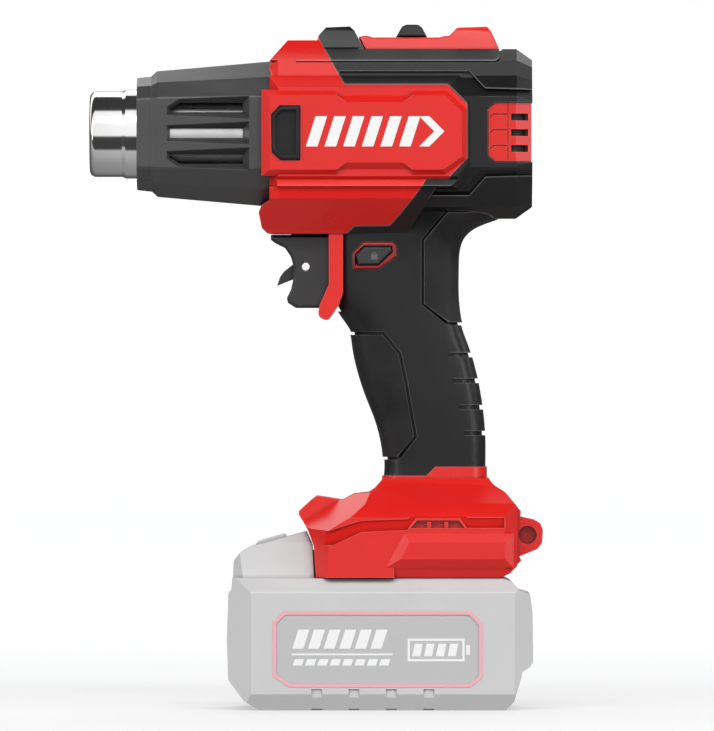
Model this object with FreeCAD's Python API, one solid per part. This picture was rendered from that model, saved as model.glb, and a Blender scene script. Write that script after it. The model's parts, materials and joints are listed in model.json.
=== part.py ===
"""Cordless heat gun with its slide-on battery pack, one STEP file per sub-part.

Units are millimetres. +Z is up, -X is the way the nozzle blows, and the origin is on the surface that the
battery stands on, under the middle of the tool's overall box. The left side of the tool is -Y.
"""

import FreeCAD, Part

import math
import os

# Driving dimensions -------------------------------------------------------------------------------------

AXIS_Z = 229.5  # height of the barrel's axis over the floor
WALL = 2.4  # wall of the moulded shells
GAP = 0.2  # clearance round a moving or dropped-in piece
FAR = 200.0  # longer than anything, for cutting tools

NOZZLE_TIP_X = -90.5
NOZZLE_R = 17.1  # outside of the front stretch, where accessories push on
NOZZLE_STEP_X = -77.5  # where the tube steps up
NOZZLE_STEP_R = 17.75
NOZZLE_WALL = 0.8
NOZZLE_END_X = -24.0
NOZZLE_LIP_R = 2.6  # rounding of the nozzle's mouth

GUARD_FRONT_X = -71.5
GUARD_STEP_X = -65.7  # front ring ends, main sleeve begins
GUARD_END_X = -18.4
TENON_END_X = -12.5  # the guard's inner sleeve ends here, inside the housing
TENON_R = 25.6
GUARD_BORE_R = 21.6
SHIELD_R = 20.6
SHIELD_WALL = 0.5

BODY_FRONT_X = -18.5
BODY_REAR_X = 86.1
BODY_TOP = 33.7  # over the axis, at the flat top of the rear body
PLATE_Y = 35.0  # outer face of the raised side plate
BOSS_Y = 32.6  # face of the raised side boss, round the plate
CAVITY_Y = 26.5  # half width of the barrel's inside

GRIP_HALF_WIDTH = 17.0
TRIGGER_HALF_WIDTH = 9.6
TRIGGER_TRAVEL = 6.0
LOCK_TRAVEL = 3.0

FOOT_BOTTOM_Z = 52.7
FOOT_HALF_WIDTH = 37.6
EAR_X, EAR_Z = 84.3, 69.4  # hook socket in the ear behind the foot
EAR_HOLE_R = 3.7
EAR_HOLE_DEPTH = 7.0
EAR_HALF_WIDTH = 13.0

BATTERY_TOP_Z = 52.4
BATTERY_HALF_WIDTH = 38.0
RAIL_TOP_Z = 63.0  # top of the battery's slide-in block
RAIL_X = (-3.5, 56.0)
CELL_R, CELL_LENGTH, CELL_PITCH = 9.1, 65.0, 19.0

SCREW_R, SCREW_HEAD_R = 1.5, 3.0

# Small geometry tools -----------------------------------------------------------------------------------


def vec(x, y, z):
    return FreeCAD.Vector(x, y, z)


def rounded_edges(corners, closed):
    """Straight runs and tangent arcs through corners, each a (point, radius); radius 0 is sharp."""
    count = len(corners)
    ends = []
    for i, (here, radius) in enumerate(corners):
        open_end = not closed and i in (0, count - 1)
        if radius <= 0 or open_end:
            ends.append((here, here, None))
            continue
        to_before = (corners[i - 1][0] - here).normalize()
        to_after = (corners[(i + 1) % count][0] - here).normalize()
        half = to_before.getAngle(to_after) / 2
        back = radius / math.tan(half)
        middle = here + (to_before + to_after).normalize() * (radius / math.sin(half) - radius)
        ends.append((here + to_before * back, here + to_after * back, middle))
    edges = []
    for i, (start, end, middle) in enumerate(ends):
        if middle is not None:
            edges.append(Part.Arc(start, middle, end).toShape())
        following = ends[(i + 1) % count][0]
        last = not closed and i == count - 1
        if not last and (following - end).Length > 1e-6:
            edges.append(Part.LineSegment(end, following).toShape())
    return edges


PLACES = {
    "xz": lambda a, b, c: vec(a, c, b),
    "yz": lambda a, b, c: vec(c, a, b),
    "xy": lambda a, b, c: vec(a, b, c),
}
NORMALS = {"xz": vec(0, 1, 0), "yz": vec(1, 0, 0), "xy": vec(0, 0, 1)}


def wire(points, plane, at):
    """Closed outline in the named plane, at that distance along its normal.

    A point is (a, b), or (a, b, r) for a corner rounded to radius r.
    """
    corners = [(PLACES[plane](p[0], p[1], at), p[2] if len(p) > 2 else 0) for p in points]
    return Part.Wire(rounded_edges(corners, True))


def prism(points, plane, start, end):
    """Straight solid of an outline, from start to end along the plane's normal."""
    return Part.Face(wire(points, plane, start)).extrude(NORMALS[plane] * (end - start))


def ring_solid(rings):
    """Flat-faced solid through closed rings of 3D points, which all have as many points."""
    faces = []
    for low, high in zip(rings, rings[1:]):
        for i in range(len(low)):
            j = (i + 1) % len(low)
            corners = [low[i], low[j], high[j], high[i]]
            faces.extend(quad(corners))
    for ring in (rings[0], rings[-1]):
        faces.append(Part.Face(Part.makePolygon(ring + [ring[0]])))
    solid = Part.Solid(Part.Shell(faces))
    if solid.Volume < 0:
        solid.reverse()
    return solid.removeSplitter()


def quad(corners):
    """A four-sided face, or its two triangles where the corners aren't in one plane or two of them meet."""
    points = [p for i, p in enumerate(corners) if (p - corners[i - 1]).Length > 1e-7]
    if len(points) < 3:
        return []
    if len(points) == 4:
        normal = (points[1] - points[0]).cross(points[2] - points[0])
        if abs(normal.dot(points[3] - points[0])) > 1e-6 * max(normal.Length, 1e-9):
            halves = [(points[0], points[1], points[2]), (points[0], points[2], points[3])]
            return [Part.Face(Part.makePolygon(list(h) + [h[0]])) for h in halves]
    return [Part.Face(Part.makePolygon(points + [points[0]]))]


def inset(points, distance):
    """A plain outline moved inwards by distance, or outwards if it is negative."""
    area = sum(points[i - 1][0] * p[1] - p[0] * points[i - 1][1] for i, p in enumerate(points))
    side = distance if area > 0 else -distance
    moved = []
    for i, p in enumerate(points):
        before, after = points[i - 1], points[(i + 1) % len(points)]
        u = vec(p[0] - before[0], p[1] - before[1], 0).normalize()
        w = vec(after[0] - p[0], after[1] - p[1], 0).normalize()
        normal_u, normal_w = vec(-u.y, u.x, 0), vec(-w.y, w.x, 0)
        share = side / (1 + normal_u.dot(normal_w))
        moved.append((p[0] + (normal_u.x + normal_w.x) * share, p[1] + (normal_u.y + normal_w.y) * share))
    return moved


def raised(points, base_y, top_y, bevel, rise=None):
    """A pad on the tool's left side: straight walls from base_y, then a bevel up to top_y."""
    rise = bevel if rise is None else rise
    shoulder = top_y - rise
    low = [vec(a, -base_y, b) for a, b in points]
    middle = [vec(a, -shoulder, b) for a, b in points]
    top = [vec(a, -top_y, b) for a, b in inset(points, bevel)]
    rings = [low, middle, top] if shoulder > base_y else [middle, top]
    return ring_solid(rings)


def stations(sections):
    """Flat-faced solid through cross-sections along X: a list of (x, half outline of (y, z))."""
    rings = []
    for x, half in sections:
        right = [vec(x, y, z) for y, z in half]
        left = [vec(x, -y, z) for y, z in reversed(half) if y > 1e-9]
        rings.append(right + left)
    return ring_solid(rings)


def box(x, y, z):
    """A block given by its (low, high) along each axis."""
    return Part.makeBox(x[1] - x[0], y[1] - y[0], z[1] - z[0], vec(x[0], y[0], z[0]))


def rod(x, y, z, radius, length, along):
    """A cylinder from a point, along 'x', 'y' or 'z'."""
    ways = {"x": vec(1, 0, 0), "y": vec(0, 1, 0), "z": vec(0, 0, 1)}
    return Part.makeCylinder(radius, length, vec(x, y, z), ways[along])


def turned(profile):
    """Solid turned about the barrel's axis, from an outline of (x, radius) points."""
    face = Part.Face(wire(profile, "xz", 0))
    face.translate(vec(0, 0, AXIS_Z))
    return face.revolve(vec(0, 0, AXIS_Z), vec(1, 0, 0), 360)


def mirrored(shape):
    return shape.mirror(vec(0, 0, 0), vec(0, 1, 0))


def both_sides(shape):
    """A left-hand shape and its mirror image as one."""
    return shape.fuse(mirrored(shape))


def left_half(shape):
    return shape.common(box((-FAR, FAR), (-FAR, 0), (-FAR, 2 * FAR)))


def right_half(shape):
    return shape.common(box((-FAR, FAR), (0, FAR), (-FAR, 2 * FAR)))


def fused(*shapes):
    return shapes[0].multiFuse(list(shapes[1:])).removeSplitter()


def cut(shape, *tools):
    return shape.cut(list(tools))


def export(node, shape):
    """Writes one sub-part, keeping only its solids."""
    solids = [s for s in shape.Solids if s.Volume > 0.01]
    if not solids:
        raise ValueError(node + " has no solid")
    kept = solids[0] if len(solids) == 1 else Part.makeCompound(solids)
    sound = all(s.isValid() for s in solids)
    print("%-20s %2d solids %9.0f mm3 %s" % (node, len(solids), kept.Volume, "ok" if sound else "NOT VALID"))
    kept.exportStep(os.path.join("parts", node + ".step"))


# Nozzle, heater and heat guard --------------------------------------------------------------------------


def nozzle_tube():
    """Steel outlet tube with a rounded mouth and one step up."""
    inner, step_inner = NOZZLE_R - NOZZLE_WALL, NOZZLE_STEP_R - NOZZLE_WALL
    bend_r = NOZZLE_R - NOZZLE_LIP_R
    return turned([
        (NOZZLE_TIP_X, bend_r - 0.8, 0.3),
        (NOZZLE_TIP_X, NOZZLE_R, NOZZLE_LIP_R),
        (NOZZLE_STEP_X, NOZZLE_R, 0.4),
        (NOZZLE_STEP_X + 1.4, NOZZLE_STEP_R, 0.4),
        (NOZZLE_END_X, NOZZLE_STEP_R),
        (NOZZLE_END_X, step_inner),
        (NOZZLE_STEP_X + 1.4, step_inner),
        (NOZZLE_STEP_X, inner),
        (NOZZLE_TIP_X + NOZZLE_WALL, inner, NOZZLE_LIP_R - NOZZLE_WALL),
        (NOZZLE_TIP_X + NOZZLE_WALL, bend_r - 0.8, 0.3),
    ])


HEATER_X = (-73.0, -29.0)
CORE_R = 14.4
CHANNEL_R, CHANNEL_CIRCLE_R, CHANNELS = 3.1, 9.4, 6


def channel_places():
    for i in range(CHANNELS):
        turn = 2 * math.pi * i / CHANNELS
        yield CHANNEL_CIRCLE_R * math.cos(turn), AXIS_Z + CHANNEL_CIRCLE_R * math.sin(turn)


def heater_core():
    """Ceramic block with round air channels, one of them in the middle."""
    length = HEATER_X[1] - HEATER_X[0]
    core = rod(HEATER_X[0], 0, AXIS_Z, CORE_R, length, "x")
    holes = [rod(HEATER_X[0] - 1, y, z, CHANNEL_R, length + 2, "x") for y, z in channel_places()]
    holes.append(rod(HEATER_X[0] - 1, 0, AXIS_Z, CHANNEL_R, length + 2, "x"))
    return cut(core, *holes)


def heater_coils():
    """One coil of resistance wire in each outer channel."""
    wire_r, coil_r, pitch = 0.45, 2.3, 3.4
    helix = Part.makeHelix(pitch, HEATER_X[1] - HEATER_X[0] - 2, coil_r)
    start = Part.Wire(Part.makeCircle(wire_r, vec(coil_r, 0, 0), vec(0, 1, 0)))
    coil = helix.makePipeShell([start], True, True)
    coil.rotate(vec(0, 0, 0), vec(0, 1, 0), 90)
    placed = []
    for y, z in channel_places():
        one = coil.copy()
        one.translate(vec(HEATER_X[0] + 1, y, z))
        placed.append(one)
    return Part.makeCompound(placed)


def mica_sleeve():
    return turned([(HEATER_X[0], 14.8), (HEATER_X[0], 15.6), (HEATER_X[1], 15.6), (HEATER_X[1], 14.8)])


def heat_shield():
    """Perforated-air-gap steel tube, seen through the guard's slots."""
    x0, x1 = GUARD_FRONT_X + 3.0, GUARD_END_X - 3.0
    bore = SHIELD_R - SHIELD_WALL
    return turned([(x0, bore), (x0, SHIELD_R), (x1, SHIELD_R), (x1, bore)])


def guard_section(height, width, crease_z, x, corner):
    """Rounded eight-sided outline of the heat guard: flat sides, domed top and bottom."""
    quarter = [(width, crease_z), (0.80 * width, 0.5 * (crease_z + height) + 0.6), (0.40 * width, height)]
    points = []
    for sy, sz, order in ((1, 1, 1), (-1, 1, -1), (-1, -1, 1), (1, -1, -1)):
        for y, z in quarter[::order]:
            points.append((sy * y, AXIS_Z + sz * z, corner))
    return wire(points, "yz", x)


SLOT_X = (-59.5, -27.9)
SLOT_HALF_Z = 3.2
SLOT_RISE = 10.3  # from one slot's middle to the next


def slot_tool(middle_z, snip):
    """Bevelled cutting block for one side slot. snip is the height cut off its front corner, with a sign."""
    x0, x1 = SLOT_X
    low, high = middle_z - SLOT_HALF_Z, middle_z + SLOT_HALF_Z
    outline = [(x0, low), (x1, low), (x1, high), (x0, high)]
    if snip > 0:
        outline = [(x0, low), (x1, low), (x1, high), (x0 + 5.2, high), (x0, high - snip)]
    if snip < 0:
        outline = [(x0, low - snip), (x0 + 5.2, low), (x1, low), (x1, high), (x0, high)]
    narrow = inset(outline, 1.3)
    through = prism(narrow, "xz", -FAR / 2, -GUARD_BORE_R + 6)
    funnel = ring_solid([
        [vec(a, -(GUARD_BORE_R + 0.4), b) for a, b in narrow],
        [vec(a, -(GUARD_BORE_R + 5.4), b) for a, b in inset(outline, -1.6)],
    ])
    return through.fuse(funnel)


def heat_guard():
    """Black sleeve round the hot tube: a front ring, a widening body and three open slots a side."""
    ring_outer = Part.makeLoft([
        guard_section(22.3, 22.0, 13.6, GUARD_FRONT_X, 2.0),
        guard_section(22.9, 22.6, 13.8, GUARD_STEP_X, 2.0),
    ], True, True)
    start_x = GUARD_STEP_X + 2.2
    nose = Part.makeLoft([
        guard_section(23.0, 22.8, 13.8, GUARD_STEP_X, 2.0),
        guard_section(25.0, 23.8, 14.0, start_x, 2.0),
    ], True, True)
    sleeve = Part.makeLoft([
        guard_section(25.0, 23.8, 14.0, start_x, 2.0),
        guard_section(28.9, 27.2, 14.6, GUARD_END_X, 2.0),
    ], True, True)
    tenon = rod(GUARD_END_X - 1, 0, AXIS_Z, TENON_R, TENON_END_X - GUARD_END_X + 1, "x")
    outer = fused(ring_outer, nose, sleeve, tenon)
    bore = rod(GUARD_FRONT_X + 3, 0, AXIS_Z, GUARD_BORE_R, FAR, "x")
    collar = rod(GUARD_FRONT_X - 1, 0, AXIS_Z, NOZZLE_STEP_R + 0.3, 10, "x")
    tools = [bore, collar]
    for step, snip in ((1, 3.0), (0, 0.0), (-1, -3.0)):
        tool = slot_tool(AXIS_Z + step * SLOT_RISE, snip)
        tools += [tool, mirrored(tool)]
    return cut(outer, *tools)


# The two-part housing -----------------------------------------------------------------------------------


def rel(points):
    """A half section given over the barrel's axis, in the tool's own heights."""
    return [(y, AXIS_Z + z) for y, z in points]


SIDE_Y = 31.2  # side face of the rear body
BARREL_HALF = [
    (0, BODY_TOP), (14.5, BODY_TOP), (22.3, 29.0), (23.6, 22.9), (SIDE_Y, 14.6),
    (SIDE_Y, -13.6), (26.8, -22.0), (21.5, -29.5), (14.0, -BODY_TOP), (0, -BODY_TOP),
]


def shrink_half(half, distance):
    """A half section moved inwards, staying on the middle plane."""
    whole = half + [(-y, z) for y, z in reversed(half) if y > 1e-9]
    moved = inset(whole, distance)
    return [(max(y, 0.0) if i else 0.0, z) for i, (y, z) in enumerate(moved[:len(half)])][:-1] + [
        (0.0, moved[len(half) - 1][1])]


def barrel_core(sink=0.0):
    """Eight-sided barrel with a front and a rear bevel, sunk inwards all round by sink."""
    front, rear = shrink_half(BARREL_HALF, 3.0 + sink), shrink_half(BARREL_HALF, 4.4 + sink)
    middle = shrink_half(BARREL_HALF, sink) if sink else BARREL_HALF
    return stations([
        (BODY_FRONT_X, rel(front)),
        (BODY_FRONT_X + 3.4, rel(middle)),
        (BODY_REAR_X - 6.2, rel(middle)),
        (BODY_REAR_X, rel(rear)),
    ])


VALLEY_DEPTH, STRIP_GROOVE_DEPTH = 1.3, 0.7
UPPER_VALLEY = [(9.2, 252.4), (57.1, 252.4), (65.3, 244.0), (90.0, 244.3), (90.0, 246.6), (67.2, 247.2),
                (60.9, 254.2), (9.2, 254.2)]
LOWER_VALLEY = [(40.0, 206.6), (57.6, 206.6), (65.3, 214.6), (90.0, 215.0), (90.0, 212.7), (67.4, 212.1),
                (60.9, 204.8), (40.0, 204.8)]
STRIP_GROOVE = [(-8.0, 258.3), (73.0, 258.3, 2.2), (73.0, 264.5), (74.1, 264.5), (74.1, 257.3, 3.2),
                (-8.0, 257.3)]


def barrel_groove(outline, depth):
    """Cutter for a groove of even depth in the left side of the barrel."""
    return cut(prism(outline, "xz", -FAR, 0), barrel_core(depth))


def top_ridge():
    """Raised ridge on the front of the barrel's top."""
    half = [(0, 37.3), (11.5, 37.3), (14.2, 34.2), (21.8, 29.1), (0, 29.1)]
    ridge = stations([(BODY_FRONT_X, rel(half)), (11.5, rel(half))])
    side = prism([(-11.3, 266.9), (1.3, 266.9), (11.5, 248.6), (BODY_FRONT_X, 248.6), (BODY_FRONT_X, 258.5)],
                 "xz", -FAR, FAR)
    return ridge.common(side)


BOSS_OUTER = [(BODY_FRONT_X, 252.4), (57.1, 252.2), (65.1, 244.2), (65.1, 214.6), (57.6, 206.8),
              (BODY_FRONT_X, 206.8)]
BOSS_INNER = [(BODY_FRONT_X + 3.4, 247.6), (52.6, 247.4), (60.2, 240.6), (60.2, 217.2), (53.4, 208.4),
              (BODY_FRONT_X + 3.4, 208.4)]


def side_boss():
    """Raised faceted boss that carries the side plate."""
    return ring_solid([
        [vec(a, -20.0, b) for a, b in BOSS_OUTER],
        [vec(a, -25.6, b) for a, b in BOSS_OUTER],
        [vec(a, -BOSS_Y, b) for a, b in BOSS_INNER],
    ])


PLATE = [(-21.7, 244.4), (51.1, 244.2), (57.9, 238.0), (57.9, 220.0), (50.7, 214.8), (-21.7, 214.8)]


def side_plate():
    """The smooth plate on the side, with its long edges notched inwards in the middle."""
    low = inset(PLATE, -2.6)
    low[0], low[-1] = (-21.7, 246.6), (-21.7, 212.4)
    top = list(PLATE)
    top[0], top[-1] = (-18.4, 244.4), (-18.4, 214.8)
    plate = ring_solid([
        [vec(a, 0, b) for a, b in low],
        [vec(a, -(PLATE_Y - 3.2), b) for a, b in low],
        [vec(a, -PLATE_Y, b) for a, b in top],
    ])
    notch = [(8.3, 244.4), (12.3, 241.4), (34.3, 241.4), (38.3, 244.4), (38.3, 262), (8.3, 262)]
    wedge = [(-PLATE_Y - 1, 241.4 - 0.9), (-PLATE_Y + 5.5, 241.4 + 6.3), (-PLATE_Y - 1, 262)]
    upper = prism(notch, "xz", -FAR, 0).common(prism(wedge, "yz", -FAR, FAR))
    low_notch = [(a, 459.2 - b) for a, b in notch]
    low_wedge = [(a, 459.2 - b) for a, b in wedge]
    lower = prism(low_notch, "xz", -FAR, 0).common(prism(low_wedge, "yz", -FAR, FAR))
    return cut(plate, upper, lower)


def ledge_groove():
    """Long V groove under the side plate."""
    section = [(-BOSS_Y - 3, 215.0), (-31.2, 211.0), (-BOSS_Y - 1.5, 205.5)]
    tool = prism(section, "yz", -FAR, 56.5)
    return tool


CHIN_SIDE = [(-18.5, 208), (-18.5, 202.8), (-21.7, 200.8), (-22.9, 198.0), (-21.7, 192.0), (-19.7, 190.0),
             (-17.3, 189.6), (36.0, 189.6), (48.0, 208)]


def chin():
    """Red underside between the barrel and the trigger, sloping in to the neck."""
    full = [(0, 208), (30.5, 208), (29.8, 203.5), (18.6, 191.2), (17.4, 189.6), (0, 189.6)]
    front = [(0, 208), (26.5, 208), (26.0, 203.5), (15.6, 191.2), (14.6, 189.6), (0, 189.6)]
    body = stations([(-23.0, front), (-15.0, full), (48.0, full)])
    return body.common(prism(CHIN_SIDE, "xz", -FAR, FAR))


# Neck and grip: (z, front x, rear x, half width) at each level
GRIP_LEVELS = [
    (83.0, 27.4, 67.7, 16.4), (92.0, 26.9, 67.7, 16.4), (99.6, 27.2, 67.7, 16.4), (107.0, 26.2, 67.7, 16.6),
    (115.2, 24.0, 67.2, 16.8), (124.4, 20.4, 66.0, 17.0), (135.2, 16.9, 63.8, 17.0),
    (144.8, 14.9, 60.9, 17.0), (151.0, 13.6, 58.6, 17.0),
    (157.0, 9.6, 57.2, 17.0), (163.0, 6.6, 56.5, 17.0), (170.0, 5.3, 56.3, 17.0), (177.0, 5.1, 56.4, 17.1),
    (184.0, 5.1, 57.0, 17.3), (188.5, 5.1, 59.0, 17.5), (191.5, 5.1, 62.4, 17.7), (194.0, 5.1, 68.0, 18.0),
    (196.5, 5.1, 74.0, 18.4), (199.4, 5.1, 75.4, 18.8),
]
GRIP_SQUARENESS = 3.4  # exponent of the grip's rounded section: 2 is an ellipse, more is boxier
GRIP_POINTS = 24


def signed_power(value, exponent):
    return math.copysign(abs(value) ** exponent, value)


def grip_solid(grow=0.0):
    """Smooth neck and grip, moved outwards by grow."""
    rings = []
    for z, front, rear, half in GRIP_LEVELS:
        middle, reach = (front + rear) / 2, (rear - front) / 2 + grow
        points = []
        for i in range(GRIP_POINTS):
            turn = 2 * math.pi * i / GRIP_POINTS
            points.append(vec(
                middle + reach * signed_power(math.cos(turn), 2 / GRIP_SQUARENESS),
                (half + grow) * signed_power(math.sin(turn), 2 / GRIP_SQUARENESS),
                z))
        curve = Part.BSplineCurve()
        curve.interpolate(points, PeriodicFlag=True)
        rings.append(Part.Wire(curve.toShape()))
    return Part.makeLoft(rings, True, False)


GUARD_STRIP = [(5.1, 190.5), (5.1, 169.2, 3), (1.2, 160.6, 2), (0.7, 156.6, 2.2), (4.6, 154.6, 2.2),
               (9.1, 161.2), (10.7, 166.0), (10.7, 190.5)]


def guard_strip():
    """Red rim behind the trigger, with the finger stop at its lower end."""
    return prism(GUARD_STRIP, "xz", -GRIP_HALF_WIDTH + 0.4, GRIP_HALF_WIDTH - 0.4)


FRONT_BUMP = [(0.2, 266.5), (1.0, 268.8), (3.9, 272.0), (13.4, 272.4), (15.2, 270.8), (19.1, 263.4),
              (3.0, 262.0)]


def front_bump():
    """Black bump that guards the slider from in front."""
    half = [(0, 272.4), (8.0, 272.4), (9.6, 270.4), (11.6, 264.0), (14.0, 262.0), (0, 262.0)]
    block = stations([(-2.0, half), (20.0, half)])
    return block.common(prism(FRONT_BUMP, "xz", -FAR, FAR))


RED_REGION = [
    (-40, 280), (-5.7, 280), (0.7, 268.0), (11.3, 248.6), (52.3, 248.6), (59.9, 241.2), (59.9, 219.2),
    (52.3, 211.2), (43.9, 211.2), (40.7, 206.4), (33.5, 197.6), (29.4, 193.0), (15.3, 192.8), (10.7, 188.6),
    (10.7, 166.0), (9.1, 161.2), (5.9, 154.0), (5.0, 150.0), (-40, 150),
]
FOOT_REGION = [(10, 93.2), (43.9, 93.0), (47.5, 96.6), (80, 96.6), (80, 60), (10, 60)]

VENT = [(68.3, 239.2), (71.1, 241.6), (95, 241.6), (95, 218.0), (71.1, 218.0), (68.3, 220.4)]
LOCK_OUTLINE = [(14.5, 181.4), (18.7, 186.2), (30.7, 186.2), (32.1, 184.6), (32.1, 180.4), (25.0, 175.4),
                (14.9, 175.4)]
LOCK_BUTTON = [(15.9, 181.2), (19.1, 184.4), (29.9, 184.4), (30.1, 182.4), (24.7, 177.2), (16.7, 177.2)]
BUMPER_OUTLINE = [(-6.1, 240.4), (-6.1, 218.4), (-14.1, 218.4), (-17.7, 221.6), (-17.9, 236.8),
                  (-14.5, 240.4)]
FRONT_PAD = [(10.0, 150.4), (27.1, 150.4), (33.9, 142.0), (36.3, 131.2), (40.3, 108.4), (33.1, 99.4),
             (20.0, 99.4)]
REAR_PAD = [(41.9, 187.2), (51.9, 199.2), (68.3, 199.2), (75.0, 195.3), (75.0, 172.0), (62.0, 153.0),
            (52.3, 153.2), (41.9, 161.2)]
PAD_GROOVE = 1.1
PAD_DEPTH = 1.3
PAD_PROUD = 0.6

SCREW_PLACES = [(-11.0, 197.5), (-6.0, 259.0), (76.0, 256.0), (76.0, 203.0), (37.0, 172.0), (52.0, 104.0)]
FOOT_SCREW_PLACES = [(9.5, 73.0), (67.5, 73.0)]
SCREW_SEAT_Y, SCREW_TIP_Y = 12.0, -9.0

SLIDER_SLOT = box((29.8, 46.4), (-2.6, 2.6), (255.0, 268.5))


def posts(places):
    """Screw posts, to be left standing in a hollow from wall to wall."""
    return [rod(x, -FAR / 2, z, 3.6, FAR, "y") for x, z in places]


def screw_holes(places):
    """Pilot holes, and wells for the heads from the right side."""
    tools = [rod(x, SCREW_TIP_Y, z, SCREW_R, SCREW_SEAT_Y - SCREW_TIP_Y, "y") for x, z in places]
    tools += [rod(x, SCREW_SEAT_Y, z, SCREW_HEAD_R + GAP, FAR, "y") for x, z in places]
    return tools


def screws(places):
    """One screw a place, each with a cross recess in its head."""
    made = []
    for x, z in places:
        shank = rod(x, SCREW_TIP_Y, z, SCREW_R, SCREW_SEAT_Y - SCREW_TIP_Y + 0.5, "y")
        head = rod(x, SCREW_SEAT_Y, z, SCREW_HEAD_R, 2.0, "y")
        reach = (SCREW_SEAT_Y + 0.8, SCREW_SEAT_Y + 3)
        cross = [box((x - a, x + a), reach, (z - b, z + b)) for a, b in ((1.7, 0.4), (0.4, 1.7))]
        made.append(cut(shank.fuse(head), *cross))
    return made


def housing_outer():
    side = both_sides(fused(side_boss(), side_plate()))
    grooves = [barrel_groove(UPPER_VALLEY, VALLEY_DEPTH), barrel_groove(LOWER_VALLEY, VALLEY_DEPTH),
               barrel_groove(STRIP_GROOVE, STRIP_GROOVE_DEPTH)]
    core = cut(barrel_core(), *[both_sides(groove) for groove in grooves])
    barrel = cut(core.fuse(side), both_sides(ledge_groove()))
    corner = prism([(BODY_FRONT_X - 5, 270), (BODY_FRONT_X - 5, 258.5), (BODY_FRONT_X, 258.5), (-11.3, 266.9),
                    (-11.3, 270)], "xz", -FAR, FAR)
    barrel = cut(barrel, corner)
    return fused(barrel, top_ridge(), chin(), front_bump(), grip_solid(), guard_strip())


def barrel_hollow():
    half = [(0, 30.0), (13.0, 30.0), (19.5, 26.0), (CAVITY_Y, 14.0), (CAVITY_Y, -17.0), (19.5, -26.0),
            (12.0, -30.0), (0, -30.0)]
    rear = shrink_half(half, 3.6)
    return stations([
        (BODY_FRONT_X - 5, rel(half)), (BODY_REAR_X - 14.0, rel(half)), (BODY_REAR_X - 3.0, rel(rear)),
    ])


def chin_hollow():
    half = [(0, 206), (25.0, 206), (24.0, 203), (14.5, 192.2), (0, 192.2)]
    return stations([(-17.5, half), (34.0, half)])


def guard_clearance():
    """Room for the rear end of the heat guard in the housing's front edge."""
    return Part.makeLoft([
        guard_section(28.9, 27.2, 14.6, GUARD_END_X - 20, 2.0),
        guard_section(29.2, 27.5, 14.8, GUARD_END_X + 0.1, 2.0),
    ], True, True)


def trigger_openings():
    """The bay in the front of the neck, and the slot over it for the trigger's guide rib."""
    bay = box((-FAR, 16.0), (-TRIGGER_HALF_WIDTH - 0.6, TRIGGER_HALF_WIDTH + 0.6), (158.6, 189.6))
    slot = box((-10.6, 14.4), (-4.4, 4.4), (186.0, 194.0))
    return [bay, slot]


def pad_recess(outline, skin, floor):
    return cut(skin.common(prism(outline, "xz", -FAR, FAR)), floor)


def finger_grooves(skin, floor):
    made = []
    for x, z in ((52.3, 141.2), (54.2, 130.9), (56.4, 120.3), (58.6, 110.0)):
        outline = [(x, z - 0.9, 0.85), (80, z - 0.9), (80, z + 0.9), (x, z + 0.9, 0.85)]
        made.append(cut(skin.common(prism(outline, "xz", -FAR, FAR)), floor))
    return made


def housing_shells(grip_inner, grip_skin, pad_floor):
    """The four housing shells, as (node, shape)."""
    tools = [pad_recess(FRONT_PAD, grip_skin, pad_floor), pad_recess(REAR_PAD, grip_skin, pad_floor)]
    outer = cut(housing_outer(), *tools, *finger_grooves(grip_skin, pad_floor))
    hollows = [cut(hollow, *posts(SCREW_PLACES)) for hollow in (barrel_hollow(), chin_hollow(), grip_inner)]
    shell = cut(outer, *hollows)
    tools = [prism(LOCK_OUTLINE, "xz", -FAR, FAR), prism(VENT, "xz", -FAR, FAR)]
    tools += trigger_openings() + screw_holes(SCREW_PLACES)
    tools += [guard_clearance(), SLIDER_SLOT, prism(FOOT_REGION, "xz", -FAR, FAR)]
    tools.append(both_sides(prism(BUMPER_OUTLINE, "xz", -FAR, -(PLATE_Y - 1.5))))
    shell = cut(shell, *tools)
    red = prism(RED_REGION, "xz", -FAR, FAR)
    red_shell, black_shell = shell.common(red), cut(shell, red)
    return [
        ("front_housing_left", left_half(red_shell)), ("front_housing_right", right_half(red_shell)),
        ("rear_housing_left", left_half(black_shell)), ("rear_housing_right", right_half(black_shell)),
    ]


def grip_pads(outer, floor):
    """The soft pads, each standing in its recess with a groove round it."""
    made = []
    for name, outline in (("front_grip", FRONT_PAD), ("rear_grip", REAR_PAD)):
        region = prism(inset(outline, PAD_GROOVE), "xz", -FAR, FAR)
        pad = cut(outer.common(region), floor)
        made += [(name + "_left", left_half(pad)), (name + "_right", right_half(pad))]
    return made


def side_bumper():
    """Left bumper pad, with a shallow hollow in its face."""
    pad = raised(inset(BUMPER_OUTLINE, GAP), PLATE_Y - 1.5, PLATE_Y + 1.4, 0.8)
    hollow = [(-16.0, 223.0), (-16.0, 236.0), (-13.6, 238.4), (-8.0, 238.4), (-8.0, 220.6), (-13.6, 220.6)]
    return cut(pad, prism(hollow, "xz", -FAR, -(PLATE_Y + 0.1)))


def top_rail():
    """Red rail on the roof, with the mode slider's track in it."""
    outline = [(19.5, 263.2), (16.9, 268.2), (19.9, 268.8), (22.7, 268.0), (49.5, 268.0), (51.1, 268.6),
               (53.1, 268.6), (56.3, 272.0), (68.3, 272.4), (69.9, 270.4), (73.1, 263.2)]
    half = [(0, 273), (7.0, 273), (8.8, 270.2), (10.6, 263.2), (0, 263.2)]
    rail = stations([(10.0, half), (80.0, half)]).common(prism(outline, "xz", -FAR, FAR))
    return cut(rail, SLIDER_SLOT)


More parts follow.
